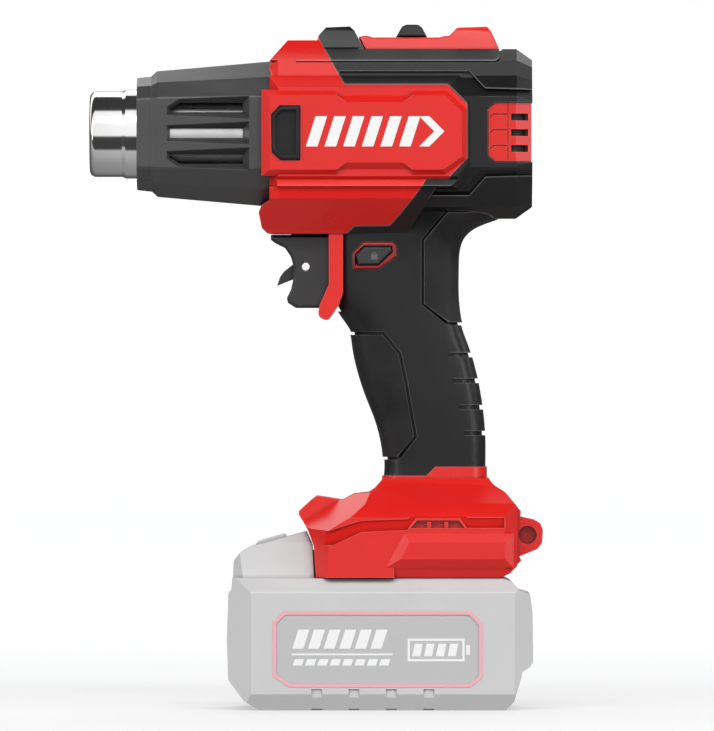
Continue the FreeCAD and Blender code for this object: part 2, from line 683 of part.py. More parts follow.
def bevelled(points, half_width, bevel):
    """A part cut to an outline, centred on the middle plane, with bevelled edges."""
    thin = inset(points, bevel)
    return ring_solid([
        [vec(a, -half_width, b) for a, b in thin],
        [vec(a, -half_width + bevel, b) for a, b in points],
        [vec(a, half_width - bevel, b) for a, b in points],
        [vec(a, half_width, b) for a, b in thin],
    ])


def mode_slider():
    cap = bevelled([(31.9, 268.3), (34.3, 272.4), (35.9, 273.2), (40.7, 273.2), (42.3, 272.0), (44.3, 268.3)],
                   6.4, 0.7)
    ribs = [box((x, x + 0.7), (-4.6, 4.6), (272.6, 274)) for x in (36.0, 37.6, 39.2)]
    return fused(cut(cap, *ribs), box((36.1, 40.1), (-2.0, 2.0), (259.0, 270.0)))


def mode_board():
    plate = box((28.0, 48.0), (-8.0, 8.0), (256.0, 257.4))
    contact = box((31.0, 45.2), (-3.0, 3.0), (257.4, 258.6))
    return plate.fuse(contact)


GRILLE_Y = SIDE_Y - 0.8  # outer side face of the grille
GRILLE_PLAN = [(60, -GRILLE_Y), (79.4, -GRILLE_Y), (BODY_REAR_X - 0.4, -26.0), (BODY_REAR_X - 0.4, 26.0),
               (79.4, GRILLE_Y), (60, GRILLE_Y)]
GRILLE_SKIN, SCREEN_SKIN = 2.4, 0.8


def rear_wrap(depth, skin, margin):
    """Wall that follows the rear of the body inside the vent, depth under the grille's face."""
    outlines = []
    for distance in (depth, depth + skin):
        plan = inset(GRILLE_PLAN, distance)
        plan[0], plan[-1] = (50, -(GRILLE_Y - distance)), (50, GRILLE_Y - distance)
        outlines.append(plan)
    wall = cut(prism(outlines[0], "xy", 210, 250), prism(outlines[1], "xy", 209, 251))
    return wall.common(prism(inset(VENT, margin), "xz", -FAR, FAR))


def dust_screen():
    """Fine screen behind the grille's slots."""
    return rear_wrap(GRILLE_SKIN + 0.2, SCREEN_SKIN, 2 * GAP)


def intake_grille():
    """Red grille that wraps round the rear of the body, open in slots at the sides and behind."""
    wrap = rear_wrap(0.0, GRILLE_SKIN, GAP)
    slots = []
    for z in (235.8, 229.6, 223.3):
        side = box((77.6, 84.4), (-FAR, -22.5), (z - 1.35, z + 1.35))
        slots += [side, mirrored(side)]
        back = box((80.0, FAR), (1.2, 19.0), (z - 1.35, z + 1.35))
        slots += [back, mirrored(back)]
        hook = prism([(76.3, z + 1.4), (70.5, z + 1.4), (69.3, z + 0.2), (69.3, z - 0.5), (70.7, z + 0.8),
                      (76.3, z + 0.8)], "xz", -FAR, -(GRILLE_Y - 0.6))
        slots += [hook, mirrored(hook)]
    seam = box((76.1, 76.5), (-FAR, -(GRILLE_Y - 0.5)), (200, 260))
    return cut(wrap, *slots, seam, mirrored(seam))


# Trigger, lock and switch -------------------------------------------------------------------------------

PIN_X, PIN_Z, PIN_R = -4.1, 176.4, 1.8
PLUNGER_Z = 165.5
TRIGGER_REAR_X = 9.2
TRIGGER_SIDE = [
    (-18.1, 189.2), (-18.1, 187.2), (-16.5, 186.0), (-12.5, 184.0), (-10.1, 180.4), (-8.9, 176.0),
    (-9.3, 170.8), (-10.1, 167.2), (-11.7, 164.0), (-11.3, 162.0), (-8.1, 160.0), (7.5, 160.0),
    (TRIGGER_REAR_X, 161.7), (TRIGGER_REAR_X, 189.2),
]
SWITCH_X, SWITCH_Z = (18.8, 32.5), (150.0, 173.0)


def trigger():
    """Trigger with a guide rib on top, a plunger behind and a slot for its latch."""
    body = bevelled(TRIGGER_SIDE, TRIGGER_HALF_WIDTH, 1.0)
    rib = box((-10.0, 7.6), (-4.0, 4.0), (188.0, 192.8))
    plunger = rod(TRIGGER_REAR_X - 1, 0, PLUNGER_Z, PIN_R, 12.5, "x")
    slot = box((-30.0, -0.1), (-2.6, 2.6), (163.0, 181.4))
    bore = rod(PIN_X, -FAR / 2, PIN_Z, PIN_R, FAR, "y")
    return cut(fused(body, rib, plunger), slot, bore)


def trigger_pin():
    pin = rod(PIN_X, -TRIGGER_HALF_WIDTH - 0.3, PIN_Z, PIN_R, 2 * TRIGGER_HALF_WIDTH + 0.6, "y")
    return pin.makeChamfer(0.3, [e for e in pin.Edges if len(e.Vertexes) == 1])


def trigger_latch():
    """Small hooked lever that swings on the trigger's pin."""
    hook = prism([(-4.1, 180.0), (-7.8, 178.6), (-12.9, 174.6), (-14.5, 172.4), (-15.7, 168.8),
                  (-12.9, 170.0), (-9.3, 171.4), (-4.1, 172.8)], "xz", -2.2, 2.2)
    hub = rod(PIN_X, -2.2, PIN_Z, 3.6, 4.4, "y")
    return cut(fused(hook, hub), rod(PIN_X, -3, PIN_Z, PIN_R + 0.05, 6, "y"))


def coil_spring(start, length, radius, wire_r, turns, along):
    """Helical spring from a point, along 'x' or 'z'."""
    helix = Part.makeHelix((length - 2 * wire_r) / turns, length - 2 * wire_r, radius)
    profile = Part.Wire(Part.makeCircle(wire_r, vec(radius, 0, 0), vec(0, 1, 0)))
    spring = helix.makePipeShell([profile], True, True)
    spring.translate(vec(0, 0, wire_r))
    if along == "x":
        spring.rotate(vec(0, 0, 0), vec(0, 1, 0), 90)
    spring.translate(vec(*start))
    return spring


def trigger_spring():
    return coil_spring((TRIGGER_REAR_X, 0, PLUNGER_Z), SWITCH_X[0] - TRIGGER_REAR_X, 3.4, 0.4, 5, "x")


def trigger_switch():
    """Switch module with the bore that the trigger's plunger runs in."""
    body = box(SWITCH_X, (-9.0, 9.0), SWITCH_Z)
    bore = rod(SWITCH_X[0] - 1, 0, PLUNGER_Z, PIN_R + 0.4, 11.0, "x")
    tabs = [box((22.0, 26.0), (y - 0.4, y + 0.4), (SWITCH_Z[0] - 3.0, SWITCH_Z[0])) for y in (-5.5, 5.5)]
    return fused(cut(body, bore), *tabs)


def lock_button():
    """Cross bolt with a shaped head on each side, a thin neck between and a flange that shuts the bore."""
    left = raised(LOCK_BUTTON, 10.0, 19.2, 0.6)
    right = mirrored(raised(LOCK_BUTTON, 10.0, 16.2, 0.6))
    flange = prism(inset(LOCK_OUTLINE, 0.4), "xz", -0.8, 0.8).common(box((15.6, 40), (-1, 1), (170, 190)))
    return fused(left, right, flange, rod(23.2, -11, 180.8, 2.4, 22, "y"))


def lock_bezel():
    rim = raised(inset(LOCK_OUTLINE, 0.1), 13.0, 17.9, 0.4)
    return cut(rim, prism(inset(LOCK_BUTTON, -0.35), "xz", -FAR, 0))


def control_board():
    plate = box((30.0, 50.0), (-0.8, 0.8), (110.0, 143.0))
    parts = [box((32.0, 40.0), (0.8, 4.2), (128.0, 140.0)), box((42.0, 48.0), (0.8, 3.4), (114.0, 122.0))]
    parts += [rod(36.0, 0.7, z, 3.2, 6.0, "y") for z in (114.5, 121.5)]
    return fused(plate, *parts)


# Air: motor, fan and duct -------------------------------------------------------------------------------

MOTOR_X, MOTOR_R = (31.0, 59.0), 14.0
DUCT_REAR_X = 30.0
FAN_X, FAN_R = (7.0, 21.0), 22.6
SHAFT_R = 1.6


def blower_duct():
    """Fan housing that narrows to a neck over the rear end of the nozzle tube."""
    duct = turned([
        (-28.0, 18.0), (-28.0, 19.6), (-16.0, 19.6), (2.0, 25.0), (DUCT_REAR_X, 25.0), (DUCT_REAR_X, 23.4),
        (2.4, 23.4), (-15.6, 18.0)])
    return cut(duct, *[lead(path, 1.6) for path in HEATER_LEADS])


def fan_impeller():
    """Axial impeller on its shaft."""
    hub = turned([(FAN_X[0] - 3, 0), (FAN_X[0] - 3, 3.0), (FAN_X[0], 7.0), (FAN_X[1], 8.0), (FAN_X[1], 0)])
    shape = hub.fuse(rod(FAN_X[0], 0, AXIS_Z, SHAFT_R, MOTOR_X[0] + 3.5 - FAN_X[0], "x"))
    plan = [(FAN_X[0], -1.0), (FAN_X[0] + 1.4, -2.4), (FAN_X[1], 7.0), (FAN_X[1] - 1.4, 8.0)]
    blade = prism(plan, "xy", 5.0, FAN_R)
    blade = blade.common(rod(FAN_X[0] - 5, 0, 0, FAN_R, 30, "x"))
    for i in range(7):
        one = blade.copy()
        one.rotate(vec(0, 0, 0), vec(1, 0, 0), 360 * i / 7)
        one.translate(vec(0, 0, AXIS_Z))
        shape = shape.fuse(one)
    return shape.removeSplitter()


def motor():
    can = turned([(MOTOR_X[0], 0), (MOTOR_X[0], 9.0), (MOTOR_X[0] + 1.5, MOTOR_R), (MOTOR_X[1], MOTOR_R),
                  (MOTOR_X[1], 6.0), (MOTOR_X[1] + 2.5, 6.0), (MOTOR_X[1] + 2.5, 0)])
    bore = rod(MOTOR_X[0] - 1, 0, AXIS_Z, SHAFT_R + 0.05, 5.0, "x")
    return cut(can, bore)


def motor_mount():
    """Spoked ring that carries the motor behind the duct."""
    rim = turned([(DUCT_REAR_X, 23.0), (DUCT_REAR_X, 25.6), (DUCT_REAR_X + 6, 25.6), (DUCT_REAR_X + 6, 23.0)])
    hub_x = (DUCT_REAR_X + 3, MOTOR_X[1] - 6)
    hub = turned([(hub_x[0], MOTOR_R), (hub_x[0], 16.4), (hub_x[1], 16.4), (hub_x[1], MOTOR_R)])
    spokes = []
    for i in range(4):
        spoke = box((DUCT_REAR_X + 3, DUCT_REAR_X + 6), (-1.5, 1.5), (15.5, 24.0))
        spoke.rotate(vec(0, 0, 0), vec(1, 0, 0), 45 + 90 * i)
        spoke.translate(vec(0, 0, AXIS_Z))
        spokes.append(spoke)
    return fused(rim, hub, *spokes)


def heater_plate():
    """Mica disc behind the heater, open to the air channels, with the thermal fuse clipped on it."""
    disc = rod(HEATER_X[1], 0, AXIS_Z, 16.8, 1.0, "x")
    holes = [rod(HEATER_X[1] - 1, y, z, CHANNEL_R - 0.4, 4, "x") for y, z in channel_places()]
    return cut(disc, *holes)


def thermal_fuse():
    return rod(HEATER_X[1] + 1.0, 0, AXIS_Z - 1.0, 1.6, 6.0, "x")


def lead(points, radius):
    """Round cable along straight runs joined by arcs as large as the runs allow."""
    path = [vec(*p) for p in points]
    corners = [(path[0], 0)]
    for before, here, after in zip(path, path[1:], path[2:]):
        half = (before - here).getAngle(after - here) / 2
        shorter = min((before - here).Length, (after - here).Length)
        corners.append((here, min(30.0, 0.42 * shorter * math.tan(half))))
    corners.append((path[-1], 0))
    route = Part.Wire(rounded_edges(corners, False))
    way = (path[1] - path[0]).normalize()
    profile = Part.Wire(Part.makeCircle(radius, path[0], way))
    return route.makePipeShell([profile], True, False)


HEATER_LEADS = [
    [(-27.9, y, 215.8), (-22.0, y, 215.6), (-14.0, y, 212.0), (-6.0, y, 205.0), (4.0, y, 201.6),
     (24.0, y, 201.4), (37.0, y, 196.5), (46.5, y, 184.0), (46.5, y, 168.0), (41.0, y, 162.0),
     (SWITCH_X[1], y, 162.0)]
    for y in (-4.5, 4.5)]
SUPPLY_LEADS = [
    [(62.0, y, 70.0), (61.0, y, 80.0), (60.0, y, 96.0), (58.0, y * 0.92, 110.0), (51.0, y * 0.92, 126.0),
     (35.0, y * 0.92, 139.0), (24.0, y * 0.55, 139.5), (24.0, y * 0.55, SWITCH_Z[0] - 3.0)]
    for y in (-10.0, 10.0)]


def power_leads():
    return [lead(path, 1.1) for path in HEATER_LEADS + SUPPLY_LEADS]


# Foot ---------------------------------------------------------------------------------------------------

FOOT_Y = 35.6  # side face of the foot
FOOT_SIDE = [
    (26.7, 98.0), (69.0, 98.0), (69.1, 91.6), (71.1, 89.2), (75.5, 86.4), (79.5, 81.6), (81.7, 78.8),
    (81.5, 76.6), (87.1, 75.4), (89.5, 74.0), (90.5, 71.2), (90.1, 66.0), (88.3, 63.8), (81.1, 60.8),
    (81.9, 59.2), (77.1, 54.4), (73.5, FOOT_BOTTOM_Z), (-0.1, FOOT_BOTTOM_Z), (-0.9, 65.2), (-3.3, 71.6),
    (-6.9, 77.6), (-6.9, 78.8), (-2.1, 83.2), (0.3, 85.0), (10.7, 83.4), (15.1, 85.8), (21.1, 86.4),
    (23.5, 88.0), (26.3, 91.2),
]
FOOT_HALF_PLAN = [
    (-7.0, 15.0), (-2.0, 26.0), (6.0, FOOT_HALF_WIDTH), (73.0, FOOT_HALF_WIDTH), (80.0, 30.0),
    (80.0, EAR_HALF_WIDTH), (92.0, EAR_HALF_WIDTH),
]
FOOT_HALF_SECTION = [
    (0, 92.0), (18.0, 92.0), (20.5, 88.8), (31.5, 82.0), (FOOT_Y, 76.6), (FOOT_Y, FOOT_BOTTOM_Z),
    (0, FOOT_BOTTOM_Z),
]
FOOT_BLOCK = [(27.9, 56.7), (35.1, 70.2), (78.5, 70.2), (78.5, 56.7)]
FOOT_BLOCK_BEVEL = 3.4
FOOT_GROOVE = [
    (-12.0, 71.3), (5.3, 71.3), (18.0, 75.3), (36.4, 75.9), (39.0, 78.6), (57.2, 78.6), (60.5, 76.5),
    (74.8, 76.5), (74.8, 72.5), (60.0, 72.5), (57.2, 76.5), (39.7, 76.5), (36.2, 71.7), (18.0, 70.9),
    (7.0, 65.7), (-12.0, 65.6),
]
FOOT_WINDOW = [(37.4, 72.4), (40.2, 75.5), (56.7, 75.5), (59.2, 72.4)]
CHANNEL_LIP_Y, CHANNEL_Y = 15.4, 19.4
CHANNEL_TOP_Z = 63.4
TERMINAL_X, TERMINAL_Z, TERMINAL_Y = (56.4, 68.0), (57.4, 70.0), 14.0
BLADE_YS = (-10.0, -5.0, 0.0, 5.0, 10.0)
LENS = [(-6.3, 79.0), (-2.2, 82.8), (-0.6, 81.0), (-4.7, 77.2)]
LIGHT_BOARD = [(-4.7, 77.2), (-0.6, 81.0), (0.4, 79.9), (-3.7, 76.1)]


def full_plan(half):
    return [(x, -y) for x, y in half] + [(x, y) for x, y in reversed(half)]


def front_shoulder():
    """Cutter for the slanted facet beside the work light's nose, on the left."""
    corners = [(-12.0, -15.4), (-12.0, -45.0), (30.0, -45.0), (30.0, -15.4)]
    return ring_solid([
        [vec(x, y, 71.7 + 0.580 * (x + 2.6) + 0.469 * (y + 26.0)) for x, y in corners],
        [vec(x, y, 120.0) for x, y in corners],
    ])


def foot_outer(collar):
    block = prism(FOOT_SIDE, "xz", -FAR, FAR).common(prism(full_plan(FOOT_HALF_PLAN), "xy", 0, 120))
    block = block.common(stations([(-20.0, FOOT_HALF_SECTION), (110.0, FOOT_HALF_SECTION)]))
    block = cut(block, both_sides(front_shoulder()))
    rise = FOOT_HALF_WIDTH - FOOT_Y
    side = both_sides(raised(FOOT_BLOCK, FOOT_Y - 3, FOOT_HALF_WIDTH, FOOT_BLOCK_BEVEL, rise))
    collar = collar.common(prism(FOOT_REGION, "xz", -FAR, FAR))
    return fused(block, side, collar)


def foot_cuts():
    """Channel for the battery's rail, hollows, window, grooves and sockets."""
    tools = [
        box((-30.0, 58.6), (-CHANNEL_Y, CHANNEL_Y), (56.7, CHANNEL_TOP_Z)),
        box((-30.0, 58.6), (-CHANNEL_LIP_Y, CHANNEL_LIP_Y), (40.0, 57.0)),
        box(TERMINAL_X, (-TERMINAL_Y, TERMINAL_Y), TERMINAL_Z),
        cut(box((20.0, 71.0), (-31.5, 31.5), (65.8, 79.2)), *posts(FOOT_SCREW_PLACES)),
        cut(box((5.0, 20.0), (-24.0, 24.0), (65.8, 70.6)), *posts(FOOT_SCREW_PLACES)),
        box((32.0, 64.0), (-13.5, 13.5), (79.0, 88.0)),
        prism(inset(LENS, -0.1), "xz", -7.2, 7.2),
        prism(LIGHT_BOARD, "xz", -6.0, 6.0),
    ]
    side = box((6.0, 71.0), (-(FOOT_Y - 3.0), -21.8), (57.0, 65.0))
    window = prism(FOOT_WINDOW, "xz", -FAR, -(FOOT_Y - 2.2))
    pegs = [box((x, x + 1.5), (-(FOOT_Y - 0.5), -FOOT_Y + 4), (70.0, 74.9)) for x in (44.2, 51.0)]
    slope = prism([(-FAR, 79.4), (-FOOT_Y, 79.4), (-(FOOT_Y - 2.9), 62.0), (-FAR, 62.0)], "yz", -FAR, FAR)
    groove = prism(FOOT_GROOVE, "xz", -FAR, 0).common(slope)
    under = [(-FAR, 56.7), (-(FOOT_Y - 0.3), 56.7), (-(FOOT_Y - 3.8), 51.0), (-FAR, 51.0)]
    undercut = prism(under, "yz", 31, 100)
    ear = rod(EAR_X, -FAR, EAR_Z, EAR_HOLE_R, FAR - (EAR_HALF_WIDTH - EAR_HOLE_DEPTH), "y")
    for tool in (side, cut(window, *pegs), groove, undercut, ear):
        tools += [tool, mirrored(tool)]
    return tools


def foot_shells(grip_inner, collar):
    outer = foot_outer(collar)
    shell = cut(outer, *foot_cuts(), grip_inner)
    shell = cut(shell, *screw_holes(FOOT_SCREW_PLACES))
    return [("foot_left", left_half(shell)), ("foot_right", right_half(shell))]


def contact_blades():
    return [box((46.0, 61.0), (y - 0.4, y + 0.4), (58.4, 62.6)) for y in BLADE_YS]


def terminal_block():
    block = box(TERMINAL_X, (-TERMINAL_Y, TERMINAL_Y), TERMINAL_Z)
    return cut(block, *contact_blades(), *[lead(path, 1.1) for path in SUPPLY_LEADS])


# Battery ------------------------------------------------------------------------------------------------

BATTERY_SIDE = [
    (-34.9, 46.4), (-33.7, 47.2), (-33.4, BATTERY_TOP_Z), (74.7, BATTERY_TOP_Z), (77.5, 51.2),
    (81.1, 47.2), (85.1, 46.2), (86.1, 39.2), (86.3, 19.2), (85.1, 17.2), (81.9, 15.2), (81.5, 12.8),
    (78.7, 3.6), (75.5, 0.0), (-22.5, 0.0), (-28.9, 4.0), (-34.9, 12.0), (-35.5, 27.2),
]
BASE_NOTCHES = [(-1.8, 2.5), (12.9, 17.2), (27.8, 32.1), (42.7, 47.0)]  # along X, in the tub's lower edges
BATTERY_HALF_PLAN = [(-35.5, 29.0), (-25.7, BATTERY_HALF_WIDTH), (79.0, BATTERY_HALF_WIDTH), (86.4, 31.0)]
BATTERY_HALF_SECTION = [(0, BATTERY_TOP_Z), (32.5, BATTERY_TOP_Z), (BATTERY_HALF_WIDTH, 46.6),
                        (BATTERY_HALF_WIDTH, 6.5), (34.5, 0.0), (0, 0.0)]
NOSE_SIDE = [(-33.4, 47.5), (-32.9, 59.2), (-30.5, 62.0), (-26.5, 64.6), (-6.5, 70.0), (-3.9, 70.7),
             (-1.5, 65.2), (-0.6, 50.0)]
PARTING_Z = 46.6
BATTERY_WALL = 2.6
RAIL_STEM_Y, RAIL_HEAD_Y = 15.0, 19.0
LABEL = [(-17.3, 35.2), (-12.9, 39.6), (61.5, 39.6), (66.3, 34.4), (66.3, 13.2), (61.5, 9.2), (-10.5, 9.2),
         (-17.3, 13.6)]
LABEL_LINE = 1.6
CELL_XS = [-15.0 + CELL_PITCH * i for i in range(5)]
CELL_ZS = (12.9, 31.9)
BATTERY_SCREWS = [(-29.2, 20.0), (-29.2, -20.0), (76.0, 24.0), (76.0, -24.0)]
BATTERY_SCREW_Z = 9.0  # underside of the screw heads, up in their wells
BUTTON_X, BUTTON_Y, BUTTON_FLOOR_Z = (-24.0, -12.0), 9.0, 56.0
BUTTON_TRAVEL = 2.5


def cover(side, plan, section):
    block = prism(side, "xz", -FAR, FAR).common(prism(plan, "xy", -10, 120))
    return block.common(stations([(-60.0, section), (110.0, section)]))


def battery_outer():
    body = cover(BATTERY_SIDE, full_plan(BATTERY_HALF_PLAN), BATTERY_HALF_SECTION)
    nose_section = [(0, 72.0), (15.0, 72.0), (20.0, 66.5), (22.0, 58.0), (24.0, 48.0), (0, 48.0)]
    nose = prism(NOSE_SIDE, "xz", -FAR, FAR).common(stations([(-60.0, nose_section), (110.0, nose_section)]))
    nose_plan = [(-36.0, -13.0), (-27.0, -26.0), (2.0, -26.0), (2.0, 26.0), (-27.0, 26.0), (-36.0, 13.0)]
    nose = nose.common(prism(nose_plan, "xy", 40, 80))
    stem = box((RAIL_X[0], RAIL_X[1]), (-RAIL_STEM_Y, RAIL_STEM_Y), (50.0, 58.0))
    head = box((RAIL_X[0], RAIL_X[1]), (-RAIL_HEAD_Y, RAIL_HEAD_Y), (57.1, RAIL_TOP_Z))
    return fused(body, nose, stem, head)


def battery_cases():
    """Tub and cover of the battery."""
    outer = battery_outer()
    section = shrink_half(BATTERY_HALF_SECTION, BATTERY_WALL)
    plan = inset(full_plan(BATTERY_HALF_PLAN), BATTERY_WALL)
    hollow = cover(inset(BATTERY_SIDE, BATTERY_WALL), plan, section)
    columns = Part.makeCompound([rod(x, y, -5, 3.6, 60, "z") for x, y in BATTERY_SCREWS]).common(outer)
    case = fused(cut(outer, hollow), columns)
    tools = [box((44.5, 60.0), (y - 1.0, y + 1.0), (57.4, 70.0)) for y in BLADE_YS]
    for x, y in BATTERY_SCREWS:
        tools.append(rod(x, y, BATTERY_SCREW_Z + 2, SCREW_R, 49.2 - BATTERY_SCREW_Z - 2, "z"))
        tools.append(rod(x, y, -1.0, SCREW_HEAD_R + GAP, BATTERY_SCREW_Z + 3, "z"))
    label = prism(LABEL, "xz", -FAR, -(BATTERY_HALF_WIDTH - 0.6))
    notches = [box(along, (-FAR, -(BATTERY_HALF_WIDTH - 0.7)), (-1.0, 8.6)) for along in BASE_NOTCHES]
    notches += [box(along, (-FAR, -33.2), (-1.0, 0.7)) for along in BASE_NOTCHES]
    for tool in [label] + notches:
        tools += [tool, mirrored(tool)]
    well_x, well_y = (BUTTON_X[0] - 0.3, BUTTON_X[1] + 0.3), (-BUTTON_Y - 0.3, BUTTON_Y + 0.3)
    tools.append(box(well_x, well_y, (BUTTON_FLOOR_Z, 80)))
    case = cut(case, *tools)
    above = box((-FAR, FAR), (-FAR, FAR), (PARTING_Z, FAR))
    return cut(case, above), case.common(above)


def battery_latch():
    """Release button in the nose, with a skirt over its spring."""
    top = [(BUTTON_X[0], 66.0), (BUTTON_X[0] + 0.8, 66.9), (BUTTON_X[1] - 0.8, 69.9), (BUTTON_X[1], 69.3),
           (BUTTON_X[1], 59.5), (BUTTON_X[0], 59.5)]
    cap = prism(top, "xz", -BUTTON_Y, BUTTON_Y)
    well = rod(sum(BUTTON_X) / 2, 0, 59.0, 3.6, 4.5, "z")
    skin = prism([(-24.0, 66.1), (-12.0, 69.1), (-12.0, 80.0), (-24.0, 80.0)], "xz", -6.0, 6.0)
    grooves = [box((x, x + 0.8), (-6.0, 6.0), (62.0, 75.0)).common(skin) for x in (-21.0, -18.4, -15.8)]
    return cut(cap, well, *grooves)


def latch_spring():
    return coil_spring((sum(BUTTON_X) / 2, 0, BUTTON_FLOOR_Z), 63.5 - BUTTON_FLOOR_Z, 2.4, 0.35, 4, "z")


def battery_cells():
    return [rod(x, -CELL_LENGTH / 2, z, CELL_R, CELL_LENGTH, "y") for x in CELL_XS for z in CELL_ZS]


def cell_holder():
    """Left end frame that the cells are pushed into."""
    frame = box((CELL_XS[0] - 10.0, CELL_XS[-1] + 10.0), (-30.0, -22.0), (3.2, 41.6))
    frame = frame.common(prism(inset(BATTERY_SIDE, BATTERY_WALL + 0.3), "xz", -FAR, FAR))
    holes = [rod(x, -40, z, CELL_R + 0.1, 30, "y") for x in CELL_XS for z in CELL_ZS]
    return cut(frame, *holes)


def bus_strips():
    """Nickel strips over the cell ends, each joining neighbouring cells."""
    half = CELL_LENGTH / 2
    left = [box((CELL_XS[i] - 4, CELL_XS[i + 1] + 4), (-half - 0.3, -half), (z - 4, z + 4))
            for i in (0, 2) for z in CELL_ZS]
    right = [mirrored(box((CELL_XS[i] - 4, CELL_XS[i + 1] + 4), (-half - 0.3, -half), (z - 4, z + 4)))
             for i in (1, 3) for z in CELL_ZS]
    left.append(box((CELL_XS[4] - 4, CELL_XS[4] + 4), (-half - 0.3, -half), (CELL_ZS[0] - 4, CELL_ZS[1] + 4)))
    return left + right


def protection_board():
    plate = box((-20.0, 56.0), (-15.0, 15.0), (43.6, 45.2))
    chips = [box((x, x + 8.0), (-6.0, 2.0), (45.2, 47.0)) for x in (-14.0, 4.0, 22.0)]
    return fused(plate, *chips)


def battery_contacts():
    """Spring leaves on the walls of the rail's slots."""
    leaves = []
    for y in BLADE_YS:
        for sides in ((y - 1.0, y - 0.75), (y + 0.75, y + 1.0)):
            leaves.append(box((47.0, 52.0), sides, (57.4, 62.0)))
    return leaves


def battery_screws():
    made = []
    for x, y in BATTERY_SCREWS:
        head = rod(x, y, BATTERY_SCREW_Z, SCREW_HEAD_R, 2.0, "z")
        shank = rod(x, y, BATTERY_SCREW_Z + 1.5, SCREW_R, 49.0 - BATTERY_SCREW_Z - 1.5, "z")
        deep = (BATTERY_SCREW_Z - 1, BATTERY_SCREW_Z + 1.2)
        cross = [box((x - a, x + a), (y - b, y + b), deep) for a, b in ((1.7, 0.4), (0.4, 1.7))]
        made.append(cut(head.fuse(shank), *cross))
    return made


def label_line():
    face = -(BATTERY_HALF_WIDTH - 0.6)
    middle = prism(inset(LABEL, LABEL_LINE), "xz", face - 2, face + 1)
    return cut(prism(LABEL, "xz", face - 0.8, face), middle)


def label_panel():
    face = -(BATTERY_HALF_WIDTH - 0.6)
    return prism(inset(LABEL, LABEL_LINE), "xz", face - 0.4, face)


# All sub-parts ------------------------------------------------------------------------------------------


def main():
    os.makedirs("parts", exist_ok=True)
    export("nozzle_tube", nozzle_tube())
    export("heater_core", heater_core())
    export("heater_coils", heater_coils())
    export("mica_sleeve", mica_sleeve())
    export("heater_plate", heater_plate())
    export("thermal_fuse", thermal_fuse())
    export("heat_shield", heat_shield())
    export("heat_guard", heat_guard())
    export("blower_duct", blower_duct())
    export("fan_impeller", fan_impeller())
    export("motor", motor())
    export("motor_mount", motor_mount())

    grip_inner, grip_skin, grip_proud = grip_solid(-WALL), grip_solid(1.0), grip_solid(PAD_PROUD)
    pad_floor = grip_solid(-PAD_DEPTH)
    for node, shape in housing_shells(grip_inner, grip_skin, pad_floor):
        export(node, shape)
    for node, shape in grip_pads(grip_proud, pad_floor):
        export(node, shape)
    for node, shape in foot_shells(grip_inner, grip_proud):
        export(node, shape)
    export("side_bumper_left", side_bumper())
    export("side_bumper_right", mirrored(side_bumper()))
    export("top_rail", top_rail())
    export("mode_slider", mode_slider())
    export("mode_board", mode_board())
    export("intake_grille", intake_grille())
    export("dust_screen", dust_screen())
    export("housing_screws", Part.makeCompound(screws(SCREW_PLACES + FOOT_SCREW_PLACES)))

    export("trigger", trigger())
    export("trigger_pin", trigger_pin())
    export("trigger_latch", trigger_latch())
    export("trigger_spring", trigger_spring())
    export("trigger_switch", trigger_switch())
    export("lock_button", lock_button())
    export("lock_bezel_left", lock_bezel())
    export("lock_bezel_right", mirrored(lock_bezel()))
    export("control_board", control_board())
    export("power_leads", Part.makeCompound(power_leads()))

    export("contact_blades", Part.makeCompound(contact_blades()))
    export("terminal_block", terminal_block())
    export("work_light_lens", prism(LENS, "xz", -7.0, 7.0))
    export("work_light_board", prism(LIGHT_BOARD, "xz", -6.0, 6.0))

    tub, cover_case = battery_cases()
    export("battery_tub", tub)
    export("battery_cover", cover_case)
    export("battery_latch", battery_latch())
    export("latch_spring", latch_spring())
    export("battery_cells", Part.makeCompound(battery_cells()))
    export("cell_holder_left", cell_holder())
    export("cell_holder_right", mirrored(cell_holder()))
    export("bus_strips", Part.makeCompound(bus_strips()))
    export("protection_board", protection_board())
    export("battery_contacts", Part.makeCompound(battery_contacts()))
    export("battery_screws", Part.makeCompound(battery_screws()))
    export("label_line_left", label_line())
    export("label_line_right", mirrored(label_line()))
    export("label_panel_left", label_panel())
    export("label_panel_right", mirrored(label_panel()))


main()
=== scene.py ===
import json
import math

import bmesh
import bpy
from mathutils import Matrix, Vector


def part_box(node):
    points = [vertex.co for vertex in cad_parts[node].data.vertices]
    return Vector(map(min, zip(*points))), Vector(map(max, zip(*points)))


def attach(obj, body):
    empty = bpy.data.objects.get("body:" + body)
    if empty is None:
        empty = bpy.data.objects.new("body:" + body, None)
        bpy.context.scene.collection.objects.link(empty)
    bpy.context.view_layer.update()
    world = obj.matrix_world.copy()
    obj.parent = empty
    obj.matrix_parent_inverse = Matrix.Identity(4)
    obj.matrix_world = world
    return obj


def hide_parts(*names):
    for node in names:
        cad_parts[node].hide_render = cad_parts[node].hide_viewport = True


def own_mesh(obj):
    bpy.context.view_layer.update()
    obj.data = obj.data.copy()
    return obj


# Looks of the cordless heat gun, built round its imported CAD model. Lengths are metres, in the CAD model's
# axes: +Z is up, -X is the way the nozzle blows and -Y is the left side, which the camera faces.

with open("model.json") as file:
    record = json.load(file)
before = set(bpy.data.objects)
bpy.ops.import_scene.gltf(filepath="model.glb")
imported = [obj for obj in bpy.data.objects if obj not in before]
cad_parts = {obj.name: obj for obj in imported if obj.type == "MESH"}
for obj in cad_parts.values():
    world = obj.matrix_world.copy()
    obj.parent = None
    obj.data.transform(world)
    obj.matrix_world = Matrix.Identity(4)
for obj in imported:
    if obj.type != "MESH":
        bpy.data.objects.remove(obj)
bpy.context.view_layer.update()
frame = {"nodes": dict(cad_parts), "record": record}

# Driving values -----------------------------------------------------------------------------------------

